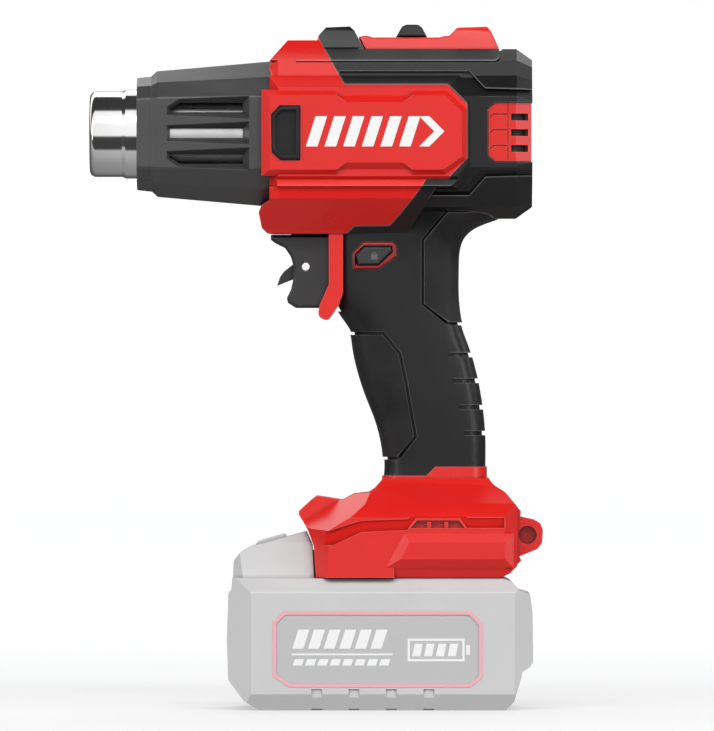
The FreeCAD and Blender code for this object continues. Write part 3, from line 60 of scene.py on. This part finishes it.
MM = 0.001
CAMERA_DISTANCE = 4.8
VIEW_CENTRE = (16.3 * MM, 137.0 * MM)  # x and z that the camera looks at
VIEW_HEIGHT = 292.4 * MM  # height of the picture, measured in the object's middle plane
SENSOR = 36.0  # in millimetres, as Blender has it

SIDES = ((-1, "left"), (1, "right"))  # which way y goes on each side
PLATE_FACE = 35.0 * MM  # outer face of the side plate
LABEL_FACE = 37.8 * MM  # outer face of the battery's label panel
LOCK_FACE = 19.2 * MM  # outer face of the lock button's left head
INK = 0.06 * MM  # how far printed marks stand out
MARK_COUNT = 6  # slanted bars in a row, on the side plate and on the label
FLOOR_GLOW, WALL_GLOW = 0.34, 0.56  # the stage's own light, by the object and far from it
GLOW_START, GLOW_END = 0.3, 2.5  # distances over which the one turns into the other
FLOOR_REACH, FLOOR_CURVE, WALL_TOP = 9.0, 2.4, 4.2  # the stage's radius, rounding and height

# Brightness of the studio round the object's long axis, in degrees from straight ahead of the left side:
# 90 is overhead, 180 is behind and -90 is below.
STUDIO_BANDS = [
    (-180, 0.10), (-152, 0.10), (-128, 0.30), (-90, 0.36), (-46, 0.60), (-42, 0.06), (-8, 0.06), (-5, 1.20),
    (62, 1.25), (67, 0.05), (119, 0.05), (123, 1.80), (150, 1.80), (153, 0.16), (180, 0.10),
]

# Material tools -----------------------------------------------------------------------------------------

EDGE_HIGHLIGHT_REACH = 0.8 * MM  # how far the painted edge highlight reaches in from an outer edge
CORNER_SHADE_REACH, CORNER_SHADE = 3.0 * MM, 0.35  # how far painted shade reaches out of an inner corner, and how dark it is


def new_material(name, color, roughness, metallic=0.0):
    material = bpy.data.materials.new(name)
    material.use_nodes = True
    shader = material.node_tree.nodes["Principled BSDF"]
    shader.inputs["Base Color"].default_value = (*color, 1.0)
    shader.inputs["Roughness"].default_value = roughness
    shader.inputs["Metallic"].default_value = metallic
    material.diffuse_color = (*color, 1.0)
    return material, material.node_tree, shader


def place(tree, stretch=(1.0, 1.0, 1.0)):
    """The object's own coordinates, stretched along each axis."""
    where = tree.nodes.new("ShaderNodeTexCoord")
    mapping = tree.nodes.new("ShaderNodeMapping")
    mapping.inputs["Scale"].default_value = stretch
    tree.links.new(where.outputs["Object"], mapping.inputs["Vector"])
    return mapping.outputs["Vector"]


def noise(tree, vector, scale, detail=3.0, roughness=0.55):
    node = tree.nodes.new("ShaderNodeTexNoise")
    node.inputs["Scale"].default_value = scale
    node.inputs["Detail"].default_value = detail
    node.inputs["Roughness"].default_value = roughness
    tree.links.new(vector, node.inputs["Vector"])
    return node.outputs["Fac"]


def cells(tree, vector, scale):
    node = tree.nodes.new("ShaderNodeTexVoronoi")
    node.inputs["Scale"].default_value = scale
    tree.links.new(vector, node.inputs["Vector"])
    return node.outputs["Distance"]


def spread(tree, value, low, high, start=0.3, end=0.7):
    """Maps start to end, at first a texture's middle range, onto low to high."""
    node = tree.nodes.new("ShaderNodeMapRange")
    node.inputs["From Min"].default_value = start
    node.inputs["From Max"].default_value = end
    node.inputs["To Min"].default_value = low
    node.inputs["To Max"].default_value = high
    tree.links.new(value, node.inputs["Value"])
    return node.outputs["Result"]


def tint(tree, value, stops):
    """Colour ramp from (position, colour) stops."""
    node = tree.nodes.new("ShaderNodeValToRGB")
    ramp = node.color_ramp
    while len(ramp.elements) < len(stops):
        ramp.elements.new(0.5)
    for element, (position, color) in zip(ramp.elements, stops):
        element.position = position
        element.color = (*color, 1.0)
    tree.links.new(value, node.inputs["Fac"])
    return node.outputs["Color"]


def bump(tree, height, distance, strength=1.0, under=None):
    node = tree.nodes.new("ShaderNodeBump")
    node.inputs["Distance"].default_value = distance
    node.inputs["Strength"].default_value = strength
    tree.links.new(height, node.inputs["Height"])
    if under is not None:
        tree.links.new(under, node.inputs["Normal"])
    return node.outputs["Normal"]


def occlusion(tree, distance, inside):
    """How open the surface is. From inside, outer edges come out dark, and otherwise inner corners do."""
    node = tree.nodes.new("ShaderNodeAmbientOcclusion")
    node.samples = 8
    node.inside = node.only_local = inside
    node.inputs["Distance"].default_value = distance
    return node.outputs["AO"]


def mixed(tree, share, first, second, blend="MIX"):
    """Colour mix of two sockets or plain colours, by share."""
    node = tree.nodes.new("ShaderNodeMix")
    node.data_type = "RGBA"
    node.blend_type = blend
    if isinstance(share, float):
        node.inputs[0].default_value = share
    else:
        tree.links.new(share, node.inputs[0])
    for socket, value in ((node.inputs[6], first), (node.inputs[7], second)):
        if isinstance(value, tuple):
            socket.default_value = (*value, 1.0)
        else:
            tree.links.new(value, socket)
    return node.outputs[2]


def edge_highlight_and_corner_shade(tree, color, edge_highlight_color):
    """Painted highlight that pales outer edges, and painted shade that darkens inner corners."""
    # painted highlight: outer edges, found by occlusion from inside, turn towards the paler edge colour
    edge_highlight_share = spread(tree, occlusion(tree, EDGE_HIGHLIGHT_REACH, True), 1.0, 0.0, 0.4, 0.75)
    pale = mixed(tree, edge_highlight_share, color, edge_highlight_color)
    # painted shade: inner corners, found by occlusion from outside, are darkened
    corner_shade_factor = spread(tree, occlusion(tree, CORNER_SHADE_REACH, False), CORNER_SHADE, 1.0, 0.25, 0.85)
    dark = tint(tree, corner_shade_factor, [(0.0, (0.0, 0.0, 0.0)), (1.0, (1.0, 1.0, 1.0))])
    return mixed(tree, 1.0, pale, dark, "MULTIPLY")


def moulded(name, color, roughness, grain=2600.0, depth=0.012, spread_by=0.05, shade=0.12, shine=0.5,
            edge_highlight_color=None):
    """Moulded plastic: grain depth mm deep, slight sink waves, and gloss and colour that vary a little."""
    material, tree, shader = new_material(name, color, roughness)
    vector = place(tree)
    cloud = noise(tree, vector, 38.0, 2.0)
    darker = tuple(c * (1 - shade) for c in color)
    lighter = tuple(min(1.0, c * (1 + shade * 0.6)) for c in color)
    tinted = tint(tree, cloud, [(0.3, darker), (0.7, lighter)])
    # base colour with a painted highlight on outer edges and painted shade in inner corners
    tree.links.new(edge_highlight_and_corner_shade(tree, tinted, edge_highlight_color or lighter), shader.inputs["Base Color"])
    fine = noise(tree, vector, grain, 4.0)
    gloss = spread(tree, cloud, roughness - spread_by, roughness + spread_by)
    tree.links.new(gloss, shader.inputs["Roughness"])
    waves = bump(tree, noise(tree, vector, 30.0, 0.0), 0.05 * MM, 0.15)
    tree.links.new(bump(tree, fine, depth * MM, 1.0, waves), shader.inputs["Normal"])
    shader.inputs["Specular IOR Level"].default_value = shine
    return material


def soft_rubber(name, color, roughness, pimple=1500.0):
    """Soft overmoulding: small pimples under a dull, slightly dusty skin."""
    material, tree, shader = new_material(name, color, roughness)
    vector = place(tree)
    cloud = noise(tree, vector, 60.0, 4.0)
    dusty = tuple(c * 1.5 + 0.003 for c in color)
    tinted = tint(tree, cloud, [(0.35, color), (0.75, dusty)])
    # painted highlight on outer edges, grey, and painted shade in inner corners
    tree.links.new(edge_highlight_and_corner_shade(tree, tinted, (0.12, 0.12, 0.123)), shader.inputs["Base Color"])
    tree.links.new(spread(tree, cloud, roughness - 0.08, roughness + 0.06), shader.inputs["Roughness"])
    pimples = bump(tree, cells(tree, vector, pimple), 0.06 * MM, 0.5)
    fine = noise(tree, vector, 5200.0, 2.0)
    tree.links.new(bump(tree, fine, 0.01 * MM, 0.6, pimples), shader.inputs["Normal"])
    shader.inputs["Specular IOR Level"].default_value = 0.2
    shader.inputs["Sheen Weight"].default_value = 0.02
    shader.inputs["Sheen Roughness"].default_value = 0.4
    return material


def turned_metal(name, color, roughness, stretch, depth=0.01):
    """Metal with fine tool marks, drawn out along the axes with a small stretch."""
    material, tree, shader = new_material(name, color, roughness, 1.0)
    marks = noise(tree, place(tree, stretch), 900.0, 4.0)
    blotch = noise(tree, place(tree), 70.0, 3.0)
    tree.links.new(spread(tree, marks, roughness * 0.7, roughness * 1.5), shader.inputs["Roughness"])
    pale = tuple(min(1.0, c * 1.08) for c in color)
    dull = tuple(c * 0.9 for c in color)
    tree.links.new(tint(tree, blotch, [(0.3, dull), (0.7, pale)]), shader.inputs["Base Color"])
    tree.links.new(bump(tree, marks, depth * MM, 0.6), shader.inputs["Normal"])
    return material


def chrome():
    """Bright outlet tube, faintly straw-coloured by heat from its mouth (x -90.5 mm) to x -74 mm."""
    color = (0.72, 0.72, 0.73)
    material, tree, shader = new_material("chromed_steel", color, 0.10, 1.0)
    vector = place(tree)
    split = tree.nodes.new("ShaderNodeSeparateXYZ")
    tree.links.new(vector, split.inputs["Vector"])
    along = spread(tree, split.outputs["X"], 0.0, 1.0, -90.5 * MM, -74.0 * MM)
    wobble = noise(tree, vector, 160.0, 3.0)
    blend = tree.nodes.new("ShaderNodeMath")
    blend.operation = "MULTIPLY_ADD"
    blend.inputs[1].default_value = 0.3
    tree.links.new(wobble, blend.inputs[0])
    tree.links.new(along, blend.inputs[2])
    colors = [
        (0.0, (0.64, 0.60, 0.55)), (0.25, (0.70, 0.68, 0.66)), (0.6, color), (1.0, (0.75, 0.75, 0.76)),
    ]
    tree.links.new(tint(tree, blend.outputs["Value"], colors), shader.inputs["Base Color"])
    marks = noise(tree, place(tree, (1.0, 0.04, 0.04)), 5200.0, 3.0)
    tree.links.new(spread(tree, marks, 0.07, 0.15), shader.inputs["Roughness"])
    tree.links.new(bump(tree, marks, 0.002 * MM, 0.4), shader.inputs["Normal"])
    return material


def ceramic(name, color):
    material, tree, shader = new_material(name, color, 0.7)
    vector = place(tree)
    speck = noise(tree, vector, 900.0, 5.0)
    dark = tuple(c * 0.82 for c in color)
    tree.links.new(tint(tree, speck, [(0.35, dark), (0.6, color)]), shader.inputs["Base Color"])
    tree.links.new(bump(tree, speck, 0.05 * MM, 0.5), shader.inputs["Normal"])
    return material


def layered_mica():
    material, tree, shader = new_material("mica", (0.5, 0.4, 0.26), 0.35)
    flakes = cells(tree, place(tree), 420.0)
    tree.links.new(tint(tree, flakes, [(0.1, (0.40, 0.30, 0.18)), (0.7, (0.62, 0.52, 0.36))]),
                   shader.inputs["Base Color"])
    tree.links.new(bump(tree, flakes, 0.05 * MM, 0.5), shader.inputs["Normal"])
    return material


def circuit_board():
    """Green lacquer with rows of copper traces under it."""
    material, tree, shader = new_material("circuit_board", (0.02, 0.14, 0.06), 0.3)
    vector = place(tree)
    bands = tree.nodes.new("ShaderNodeTexBrick")
    bands.inputs["Scale"].default_value = 260.0
    bands.inputs["Mortar Size"].default_value = 0.03
    bands.inputs["Color1"].default_value = (0.015, 0.12, 0.05, 1)
    bands.inputs["Color2"].default_value = (0.02, 0.16, 0.07, 1)
    bands.inputs["Mortar"].default_value = (0.06, 0.26, 0.10, 1)
    tree.links.new(vector, bands.inputs["Vector"])
    tree.links.new(bands.outputs["Color"], shader.inputs["Base Color"])
    tree.links.new(bump(tree, bands.outputs["Fac"], 0.03 * MM, 0.5), shader.inputs["Normal"])
    shader.inputs["Coat Weight"].default_value = 0.4
    return material


def woven_screen():
    """Fine dark mesh: two crossing rows of wires with shadow between."""
    material, tree, shader = new_material("filter_mesh", (0.02, 0.02, 0.021), 0.6)
    rows = []
    for direction in ("Y", "Z"):
        wires = tree.nodes.new("ShaderNodeTexWave")
        wires.bands_direction = direction
        wires.inputs["Scale"].default_value = 420.0
        tree.links.new(place(tree), wires.inputs["Vector"])
        rows.append(wires.outputs["Fac"])
    weave = tree.nodes.new("ShaderNodeMath")
    weave.operation = "MAXIMUM"
    tree.links.new(rows[0], weave.inputs[0])
    tree.links.new(rows[1], weave.inputs[1])
    shades = [(0.5, (0.003, 0.003, 0.003)), (0.9, (0.03, 0.03, 0.031))]
    tree.links.new(tint(tree, weave.outputs["Value"], shades), shader.inputs["Base Color"])
    tree.links.new(bump(tree, weave.outputs["Value"], 0.1 * MM, 0.6), shader.inputs["Normal"])
    return material


def clear_lens():
    material, tree, shader = new_material("lens", (0.93, 0.95, 0.97), 0.06)
    shader.inputs["Transmission Weight"].default_value = 0.85
    shader.inputs["IOR"].default_value = 1.49
    prisms = tree.nodes.new("ShaderNodeTexWave")
    prisms.inputs["Scale"].default_value = 320.0
    tree.links.new(place(tree), prisms.inputs["Vector"])
    tree.links.new(bump(tree, prisms.outputs["Fac"], 0.1 * MM, 0.5), shader.inputs["Normal"])
    tree.links.new(spread(tree, prisms.outputs["Fac"], 0.04, 0.12), shader.inputs["Roughness"])
    return material


def printed_film(name, color, roughness):
    """Printed film: flat ink with a faint dot screen and fine scuffs."""
    material, tree, shader = new_material(name, color, roughness)
    vector = place(tree)
    dots = cells(tree, vector, 2600.0)
    pale = tuple(min(1.0, c * 1.04 + 0.004) for c in color)
    tree.links.new(tint(tree, dots, [(0.2, color), (0.6, pale)]), shader.inputs["Base Color"])
    scuffs = noise(tree, place(tree, (1.0, 1.0, 0.15)), 420.0, 5.0)
    tree.links.new(spread(tree, scuffs, roughness - 0.06, roughness + 0.08), shader.inputs["Roughness"])
    tree.links.new(bump(tree, scuffs, 0.004 * MM, 0.5), shader.inputs["Normal"])
    return material


def make_materials():
    return {
        # each edge colour below is the colour of a painted edge highlight
        "red_plastic": moulded("red_plastic", (0.74, 0.014, 0.010), 0.28, depth=0.0002, spread_by=0.01,
                               shade=0.04, shine=0.4, edge_highlight_color=(0.92, 0.085, 0.07)),
        "bezel_red": moulded("bezel_red", (0.32, 0.008, 0.007), 0.34, depth=0.001,
                             edge_highlight_color=(0.55, 0.03, 0.03)),
        "black_plastic": moulded("black_plastic", (0.011, 0.0112, 0.0117), 0.34, grain=1900.0, depth=0.006,
                                 shine=0.3, edge_highlight_color=(0.13, 0.13, 0.133)),
        "guard_black": moulded("guard_black", (0.055, 0.0552, 0.056), 0.32, grain=1500.0, depth=0.01,
                               edge_highlight_color=(0.12, 0.12, 0.124)),
        "dark_plastic": moulded("dark_plastic", (0.024, 0.0245, 0.026), 0.36, depth=0.006,
                                edge_highlight_color=(0.11, 0.11, 0.113)),
        "filter_mesh": woven_screen(),
        "inner_plastic": moulded("inner_plastic", (0.05, 0.05, 0.055), 0.45),
        "grip_rubber": soft_rubber("grip_rubber", (0.013, 0.013, 0.0135), 0.46),
        "wire_cover": soft_rubber("wire_cover", (0.45, 0.02, 0.02), 0.45, pimple=400.0),
        "chromed_steel": chrome(),
        "steel": turned_metal("steel", (0.62, 0.62, 0.63), 0.30, (0.02, 1.0, 1.0), depth=0.002),
        "screw_steel": turned_metal("screw_steel", (0.25, 0.25, 0.26), 0.35, (1.0, 0.1, 1.0)),
        "heating_wire": turned_metal("heating_wire", (0.36, 0.33, 0.30), 0.45, (1.0, 1.0, 1.0)),
        "copper_alloy": turned_metal("copper_alloy", (0.80, 0.56, 0.24), 0.25, (0.05, 1.0, 1.0)),
        "ceramic": ceramic("ceramic", (0.78, 0.75, 0.68)),
        "mica": layered_mica(),
        "circuit_board": circuit_board(),
        "lens": clear_lens(),
        "battery_grey": moulded("battery_grey", (0.60, 0.60, 0.603), 0.42, depth=0.004, shade=0.03,
                                edge_highlight_color=(0.72, 0.72, 0.72)),
        "battery_line": printed_film("battery_line", (0.80, 0.42, 0.47), 0.35),
        "battery_label": printed_film("battery_label", (0.50, 0.50, 0.503), 0.38),
        "cell_wrap": printed_film("cell_wrap", (0.03, 0.18, 0.28), 0.3),
        "white_ink": printed_film("white_ink", (0.86, 0.86, 0.86), 0.4),
        "grey_ink": printed_film("grey_ink", (0.10, 0.10, 0.10), 0.4),
    }


# CAD nodes ----------------------------------------------------------------------------------------------

EDGE_WIDTHS = {
    "red_plastic": 0.55 * MM, "black_plastic": 0.6 * MM, "guard_black": 0.5 * MM, "dark_plastic": 0.4 * MM,
    "grip_rubber": 0.35 * MM, "battery_grey": 0.7 * MM,
}
TRIM_EDGE = 0.1 * MM  # for every other material
SHARP_DEGREES = 24.0  # corners sharper than this get a rounded edge
FLAT_DEGREES = 0.6  # facets that meet flatter than this become one
WELD_REACH = 0.002 * MM


def soften(obj, width):
    """Rounds the sharp edges of a CAD node and smooths its curved faces."""
    if "custom_normal" in obj.data.attributes:
        obj.data.attributes.remove(obj.data.attributes["custom_normal"])
    for polygon in obj.data.polygons:
        polygon.use_smooth = True
    weld = obj.modifiers.new("weld", "WELD")
    weld.merge_threshold = WELD_REACH
    flat = obj.modifiers.new("flat", "DECIMATE")
    flat.decimate_type = "DISSOLVE"
    flat.angle_limit = math.radians(FLAT_DEGREES)
    edge = obj.modifiers.new("edge", "BEVEL")
    edge.limit_method = "ANGLE"
    edge.angle_limit = math.radians(SHARP_DEGREES)
    edge.width = width
    edge.segments = 2
    edge.harden_normals = True
    normals = obj.modifiers.new("normals", "WEIGHTED_NORMAL")
    normals.keep_sharp = True


def dress_nodes(materials):
    for part in frame["record"]["subparts"]:
        obj = frame["nodes"][part["node"]]
        slot = part["material_slot"]
        bezel = part["node"].startswith("lock_bezel")
        obj.data.materials.clear()
        obj.data.materials.append(materials["bezel_red" if bezel else slot])
        soften(obj, EDGE_WIDTHS.get(slot, TRIM_EDGE))


def add_piece(name, vertices, faces, material, smooth=False):
    """Mesh object of one material, with its faces turned outwards."""
    mesh = bpy.data.meshes.new(name)
    mesh.from_pydata(vertices, [], faces)
    mesh.validate()
    shape = bmesh.new()
    shape.from_mesh(mesh)
    bmesh.ops.recalc_face_normals(shape, faces=shape.faces)
    shape.to_mesh(mesh)
    shape.free()
    for polygon in mesh.polygons:
        polygon.use_smooth = smooth
    mesh.materials.append(material)
    obj = bpy.data.objects.new(name, mesh)
    bpy.context.scene.collection.objects.link(obj)
    return obj


# Springs ------------------------------------------------------------------------------------------------

WIRE_SIDES, WIRE_STEPS = 10, 36  # facets round the wire, and rings of them in one turn


def coil_rise(turn, turns, wire, length):
    """How far along the wire's middle is after some turns: the first and last turn lie wire on wire."""
    flat = 2.1 * wire
    steep = (length - 2 * wire - 2 * flat) / (turns - 2)
    if turn < 1:
        return wire + flat * turn
    if turn < turns - 1:
        return wire + flat + steep * (turn - 1)
    return wire + flat + steep * (turns - 2) + flat * (turn - turns + 1)


def wire_points(low, high, along, wire, turns):
    """Rings of points round a coiled wire that fills a box. Its axis is along, 0 for x or 2 for z."""
    middle = (low + high) / 2
    across, other = 1, 2 - along
    radius = (high - low)[across] / 2 - wire
    points = []
    for i in range(WIRE_STEPS * turns + 1):
        turn = i / WIRE_STEPS
        angle = 2 * math.pi * turn
        rise = low[along] + coil_rise(turn, turns, wire, (high - low)[along])
        for k in range(WIRE_SIDES):
            tilt = 2 * math.pi * k / WIRE_SIDES
            reach = radius + wire * math.cos(tilt)
            point = [0.0, 0.0, 0.0]
            point[along] = rise + wire * math.sin(tilt)
            point[across] = middle[across] + reach * math.cos(angle)
            point[other] = middle[other] + reach * math.sin(angle)
            points.append(point)
    return points


def wire_faces(steps):
    """Skin over the rings of a wire, with both its ends closed."""
    faces = []
    for i in range(steps):
        here, there = i * WIRE_SIDES, (i + 1) * WIRE_SIDES
        for k in range(WIRE_SIDES):
            after = (k + 1) % WIRE_SIDES
            faces.append((here + k, here + after, there + after, there + k))
    faces.append(tuple(reversed(range(WIRE_SIDES))))
    faces.append(tuple(steps * WIRE_SIDES + k for k in range(WIRE_SIDES)))
    return faces


def spring(node, body, along, wire, turns, material):
    """Closed-end coil spring in a CAD spring's place."""
    low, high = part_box(node)
    points = wire_points(low, high, along, wire, turns)
    obj = add_piece(node + "_wire", points, wire_faces(WIRE_STEPS * turns), material, smooth=True)
    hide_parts(node)
    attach(obj, body)
    anchor = list((low + high) / 2)
    anchor[along] = high[along] if along == 0 else low[along]
    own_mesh(obj)


def springs(materials):
    spring("trigger_spring", "housing", 0, 0.4 * MM, 5, materials["steel"])
    spring("latch_spring", "battery", 2, 0.35 * MM, 5, materials["steel"])


# Shade ring behind the lock button -----------------------------------------------------------------------

# Outline of the hole round the lock button, and its middle, as (x, z) in millimetres.
LOCK_HOLE = [
    (14.5, 181.4), (18.7, 186.2), (30.7, 186.2), (32.1, 184.6), (32.1, 180.4), (25.0, 175.4), (14.9, 175.4),
]
LOCK_MIDDLE = (23.3, 180.8)
SHADE_RING_SIZES = (1.12, 0.93)  # the ring's outer and inner edge, as shares of the hole
SHADE_RING_DEPTHS = (12.3, 12.9)  # its two faces, in millimetres from the middle plane


def lock_shade_ring(name, side, material):
    """Thin dark rubber ring inside the grip, just behind the bezel's rim: it puts shade where light would
    otherwise pass round the bezel.
    """
    middle_x, middle_z = LOCK_MIDDLE
    vertices = []
    for size in SHADE_RING_SIZES:
        for depth in SHADE_RING_DEPTHS:
            for x, z in LOCK_HOLE:
                across, up = middle_x + (x - middle_x) * size, middle_z + (z - middle_z) * size
                vertices.append((across * MM, side * depth * MM, up * MM))
    count = len(LOCK_HOLE)
    faces = []
    for i in range(count):
        j = (i + 1) % count
        for first, second in ((0, 1), (1, 3), (3, 2), (2, 0)):
            faces.append((first * count + i, first * count + j, second * count + j, second * count + i))
    obj = add_piece(name, vertices, faces, material)
    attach(obj, "housing")


# Printed marks ------------------------------------------------------------------------------------------


def prints(name, outlines, face, body, material, side):
    """Flat inked shapes on a side face, from outlines of (x, z) in millimetres. Side is -1 for the left."""
    vertices, faces = [], []
    for outline in outlines:
        start = len(vertices)
        for depth in (face - INK, face + INK):
            vertices += [(x * MM, side * depth, z * MM) for x, z in outline]
        count = len(outline)
        faces.append(tuple(start + i for i in range(count)))
        faces.append(tuple(start + count + i for i in reversed(range(count))))
        for i in range(count):
            j = (i + 1) % count
            faces.append((start + j, start + i, start + count + i, start + count + j))
    obj = add_piece(name, vertices, faces, material)
    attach(obj, body)


def slanted_bar(x, z, width, height, lean=0.32):
    shift = height * lean
    return [(x, z), (x + width, z), (x + width + shift, z + height), (x + shift, z + height)]


def chevron(x, z, width, height):
    half = height / 2
    return [
        (x, z), (x + width, z), (x + width + half, z + half),
        (x + width, z + height), (x, z + height), (x + half, z + half),
    ]


def side_marks(materials):
    """Plain slanted bars and a chevron on the side plates."""
    foot, height, pitch = 224.0, 12.0, 7.4
    bars = [slanted_bar(-4.0 + pitch * i, foot, 4.6, height) for i in range(MARK_COUNT)]
    bars.append(chevron(41.0, foot, 4.0, height))
    for side, word in SIDES:
        prints("plate_mark_" + word, bars, PLATE_FACE, "housing", materials["white_ink"], side)


def frame_lines(x, z, width, height, line):
    """Four bars round a rectangle."""
    return [
        rectangle(x, z, width, line), rectangle(x, z + height - line, width, line),
        rectangle(x, z + line, line, height - 2 * line),
        rectangle(x + width - line, z + line, line, height - 2 * line),
    ]


def rectangle(x, z, width, height):
    return slanted_bar(x, z, width, height, 0.0)


def label_marks(materials):
    """Bars over a rule, and a charge pictogram, on the battery's labels."""
    tall_bars = [slanted_bar(-9.4 + 6.2 * i, 24.6, 4.4, 7.6) for i in range(MARK_COUNT)]
    rule = [rectangle(-9.6, 22.0, 40.0, 0.7)]
    short_bars = [slanted_bar(-9.2 + 4.9 * i, 17.9, 3.6, 2.6) for i in range(8)]
    case = frame_lines(36.4, 19.6, 22.6, 9.0, 0.9)
    terminal = [rectangle(59.6, 22.2, 1.5, 3.8)]
    charge = [slanted_bar(38.2 + 4.7 * i, 21.6, 3.2, 5.0, 0.2) for i in range(4)]
    shapes = tall_bars + rule + short_bars + case + terminal + charge
    for side, word in SIDES:
        prints("label_mark_" + word, shapes, LABEL_FACE, "battery", materials["white_ink"], side)


def lock_mark(materials):
    """Small padlock on the lock button."""
    x, z = 23.2, 181.3
    outer, inner = 0.9, 0.5
    shackle = [(outer * math.cos(a) + x, outer * math.sin(a) + z) for a in arc_turns(0.0, math.pi)]
    shackle += [(inner * math.cos(a) + x, inner * math.sin(a) + z) for a in arc_turns(math.pi, 0.0)]
    shapes = [shackle, rectangle(21.9, 179.2, 2.6, 2.1)]
    prints("lock_mark", shapes, LOCK_FACE, "lock_button", materials["grey_ink"], -1)


def arc_turns(start, end, steps=10):
    return [start + (end - start) * i / steps for i in range(steps + 1)]


# Stage, light and camera --------------------------------------------------------------------------------


def stage_floor():
    """Pale round floor that curves up into a low wall all round, far behind the camera."""
    flat = FLOOR_REACH - FLOOR_CURVE
    profile = [(0.0, 0.0), (flat, 0.0)]
    turns = [math.pi / 2 * i / 12 for i in range(1, 13)]
    profile += [(flat + FLOOR_CURVE * math.sin(a), FLOOR_CURVE * (1 - math.cos(a))) for a in turns]
    profile.append((FLOOR_REACH, WALL_TOP))
    around = 64
    vertices = [(0.0, 0.0, 0.0)]
    for i in range(around):
        turn = 2 * math.pi * i / around
        vertices += [(r * math.cos(turn), r * math.sin(turn), z) for r, z in profile[1:]]
    count = len(profile) - 1
    faces = []
    for i in range(around):
        here, there = 1 + i * count, 1 + ((i + 1) % around) * count
        faces.append((0, here, there))
        faces += [(here + k, here + k + 1, there + k + 1, there + k) for k in range(count - 1)]
    material, tree, shader = new_material("floor", (0.62, 0.62, 0.62), 0.8)
    shader.inputs["Specular IOR Level"].default_value = 0.0
    shader.inputs["Emission Color"].default_value = (0.98, 0.985, 1.0, 1.0)
    distance = tree.nodes.new("ShaderNodeVectorMath")
    distance.operation = "LENGTH"
    tree.links.new(place(tree), distance.inputs[0])
    glow = spread(tree, distance.outputs["Value"], FLOOR_GLOW, WALL_GLOW, GLOW_START, GLOW_END)
    tree.links.new(glow, shader.inputs["Emission Strength"])
    floor = add_piece("floor", vertices, faces, material, smooth=True)
    floor.visible_diffuse = floor.visible_glossy = floor.visible_transmission = floor.visible_shadow = False


def area_light(name, position, target, size, power):
    data = bpy.data.lights.new(name, "AREA")
    data.shape = "RECTANGLE"
    data.size, data.size_y = size
    data.energy = power
    light = bpy.data.objects.new(name, data)
    light.location = position
    light.rotation_euler = (Vector(target) - Vector(position)).to_track_quat("-Z", "Y").to_euler()
    bpy.context.scene.collection.objects.link(light)


def studio_world():
    """Soft light from all round: bright bands in front and high behind, darker ones overhead and below."""
    world = bpy.data.worlds.new("studio")
    bpy.context.scene.world = world
    world.use_nodes = True
    tree = world.node_tree
    where = tree.nodes.new("ShaderNodeTexCoord")
    split = tree.nodes.new("ShaderNodeSeparateXYZ")
    tree.links.new(where.outputs["Generated"], split.inputs["Vector"])
    front = tree.nodes.new("ShaderNodeMath")
    front.operation = "MULTIPLY"
    front.inputs[1].default_value = -1.0
    tree.links.new(split.outputs["Y"], front.inputs[0])
    angle = tree.nodes.new("ShaderNodeMath")
    angle.operation = "ARCTAN2"
    tree.links.new(split.outputs["Z"], angle.inputs[0])
    tree.links.new(front.outputs["Value"], angle.inputs[1])
    around = spread(tree, angle.outputs["Value"], 0.0, 1.0, -math.pi, math.pi)
    peak = max(light for turn, light in STUDIO_BANDS)
    stops = [((turn + 180) / 360, (light / peak,) * 3) for turn, light in STUDIO_BANDS]
    background = tree.nodes["Background"]
    tree.links.new(tint(tree, around, stops), background.inputs["Color"])
    background.inputs["Strength"].default_value = peak


def stage_lights():
    studio_world()
    middle = (0.0, 0.0, 0.15)
    area_light("key", (0.0, -1.7, 1.6), middle, (1.8, 0.5), 15.0)
    area_light("left_strip", (-1.9, -1.0, 0.5), middle, (0.35, 1.5), 6.0)
    area_light("right_strip", (2.0, -0.8, 0.6), middle, (0.35, 1.5), 7.0)
    area_light("back", (0.4, 2.2, 1.6), middle, (2.0, 0.9), 9.0)


def make_camera():
    x, z = VIEW_CENTRE
    data = bpy.data.cameras.new("camera")
    data.sensor_fit = "VERTICAL"
    data.sensor_height = SENSOR
    data.lens = SENSOR * CAMERA_DISTANCE / VIEW_HEIGHT
    data.clip_end = 20.0
    camera = bpy.data.objects.new("camera", data)
    camera.location = (x, -CAMERA_DISTANCE, z)
    camera.rotation_euler = (math.pi / 2, 0.0, 0.0)
    bpy.context.scene.collection.objects.link(camera)
    bpy.context.scene.camera = camera
    bpy.context.scene.view_settings.view_transform = "Standard"


def main():
    materials = make_materials()
    dress_nodes(materials)
    springs(materials)
    # dark rings that put shade behind the lock button's bezel
    for side, word in SIDES:
        lock_shade_ring("lock_shade_ring_" + word, side, materials["grip_rubber"])
    side_marks(materials)
    label_marks(materials)
    lock_mark(materials)
    stage_floor()
    stage_lights()
    make_camera()


main()
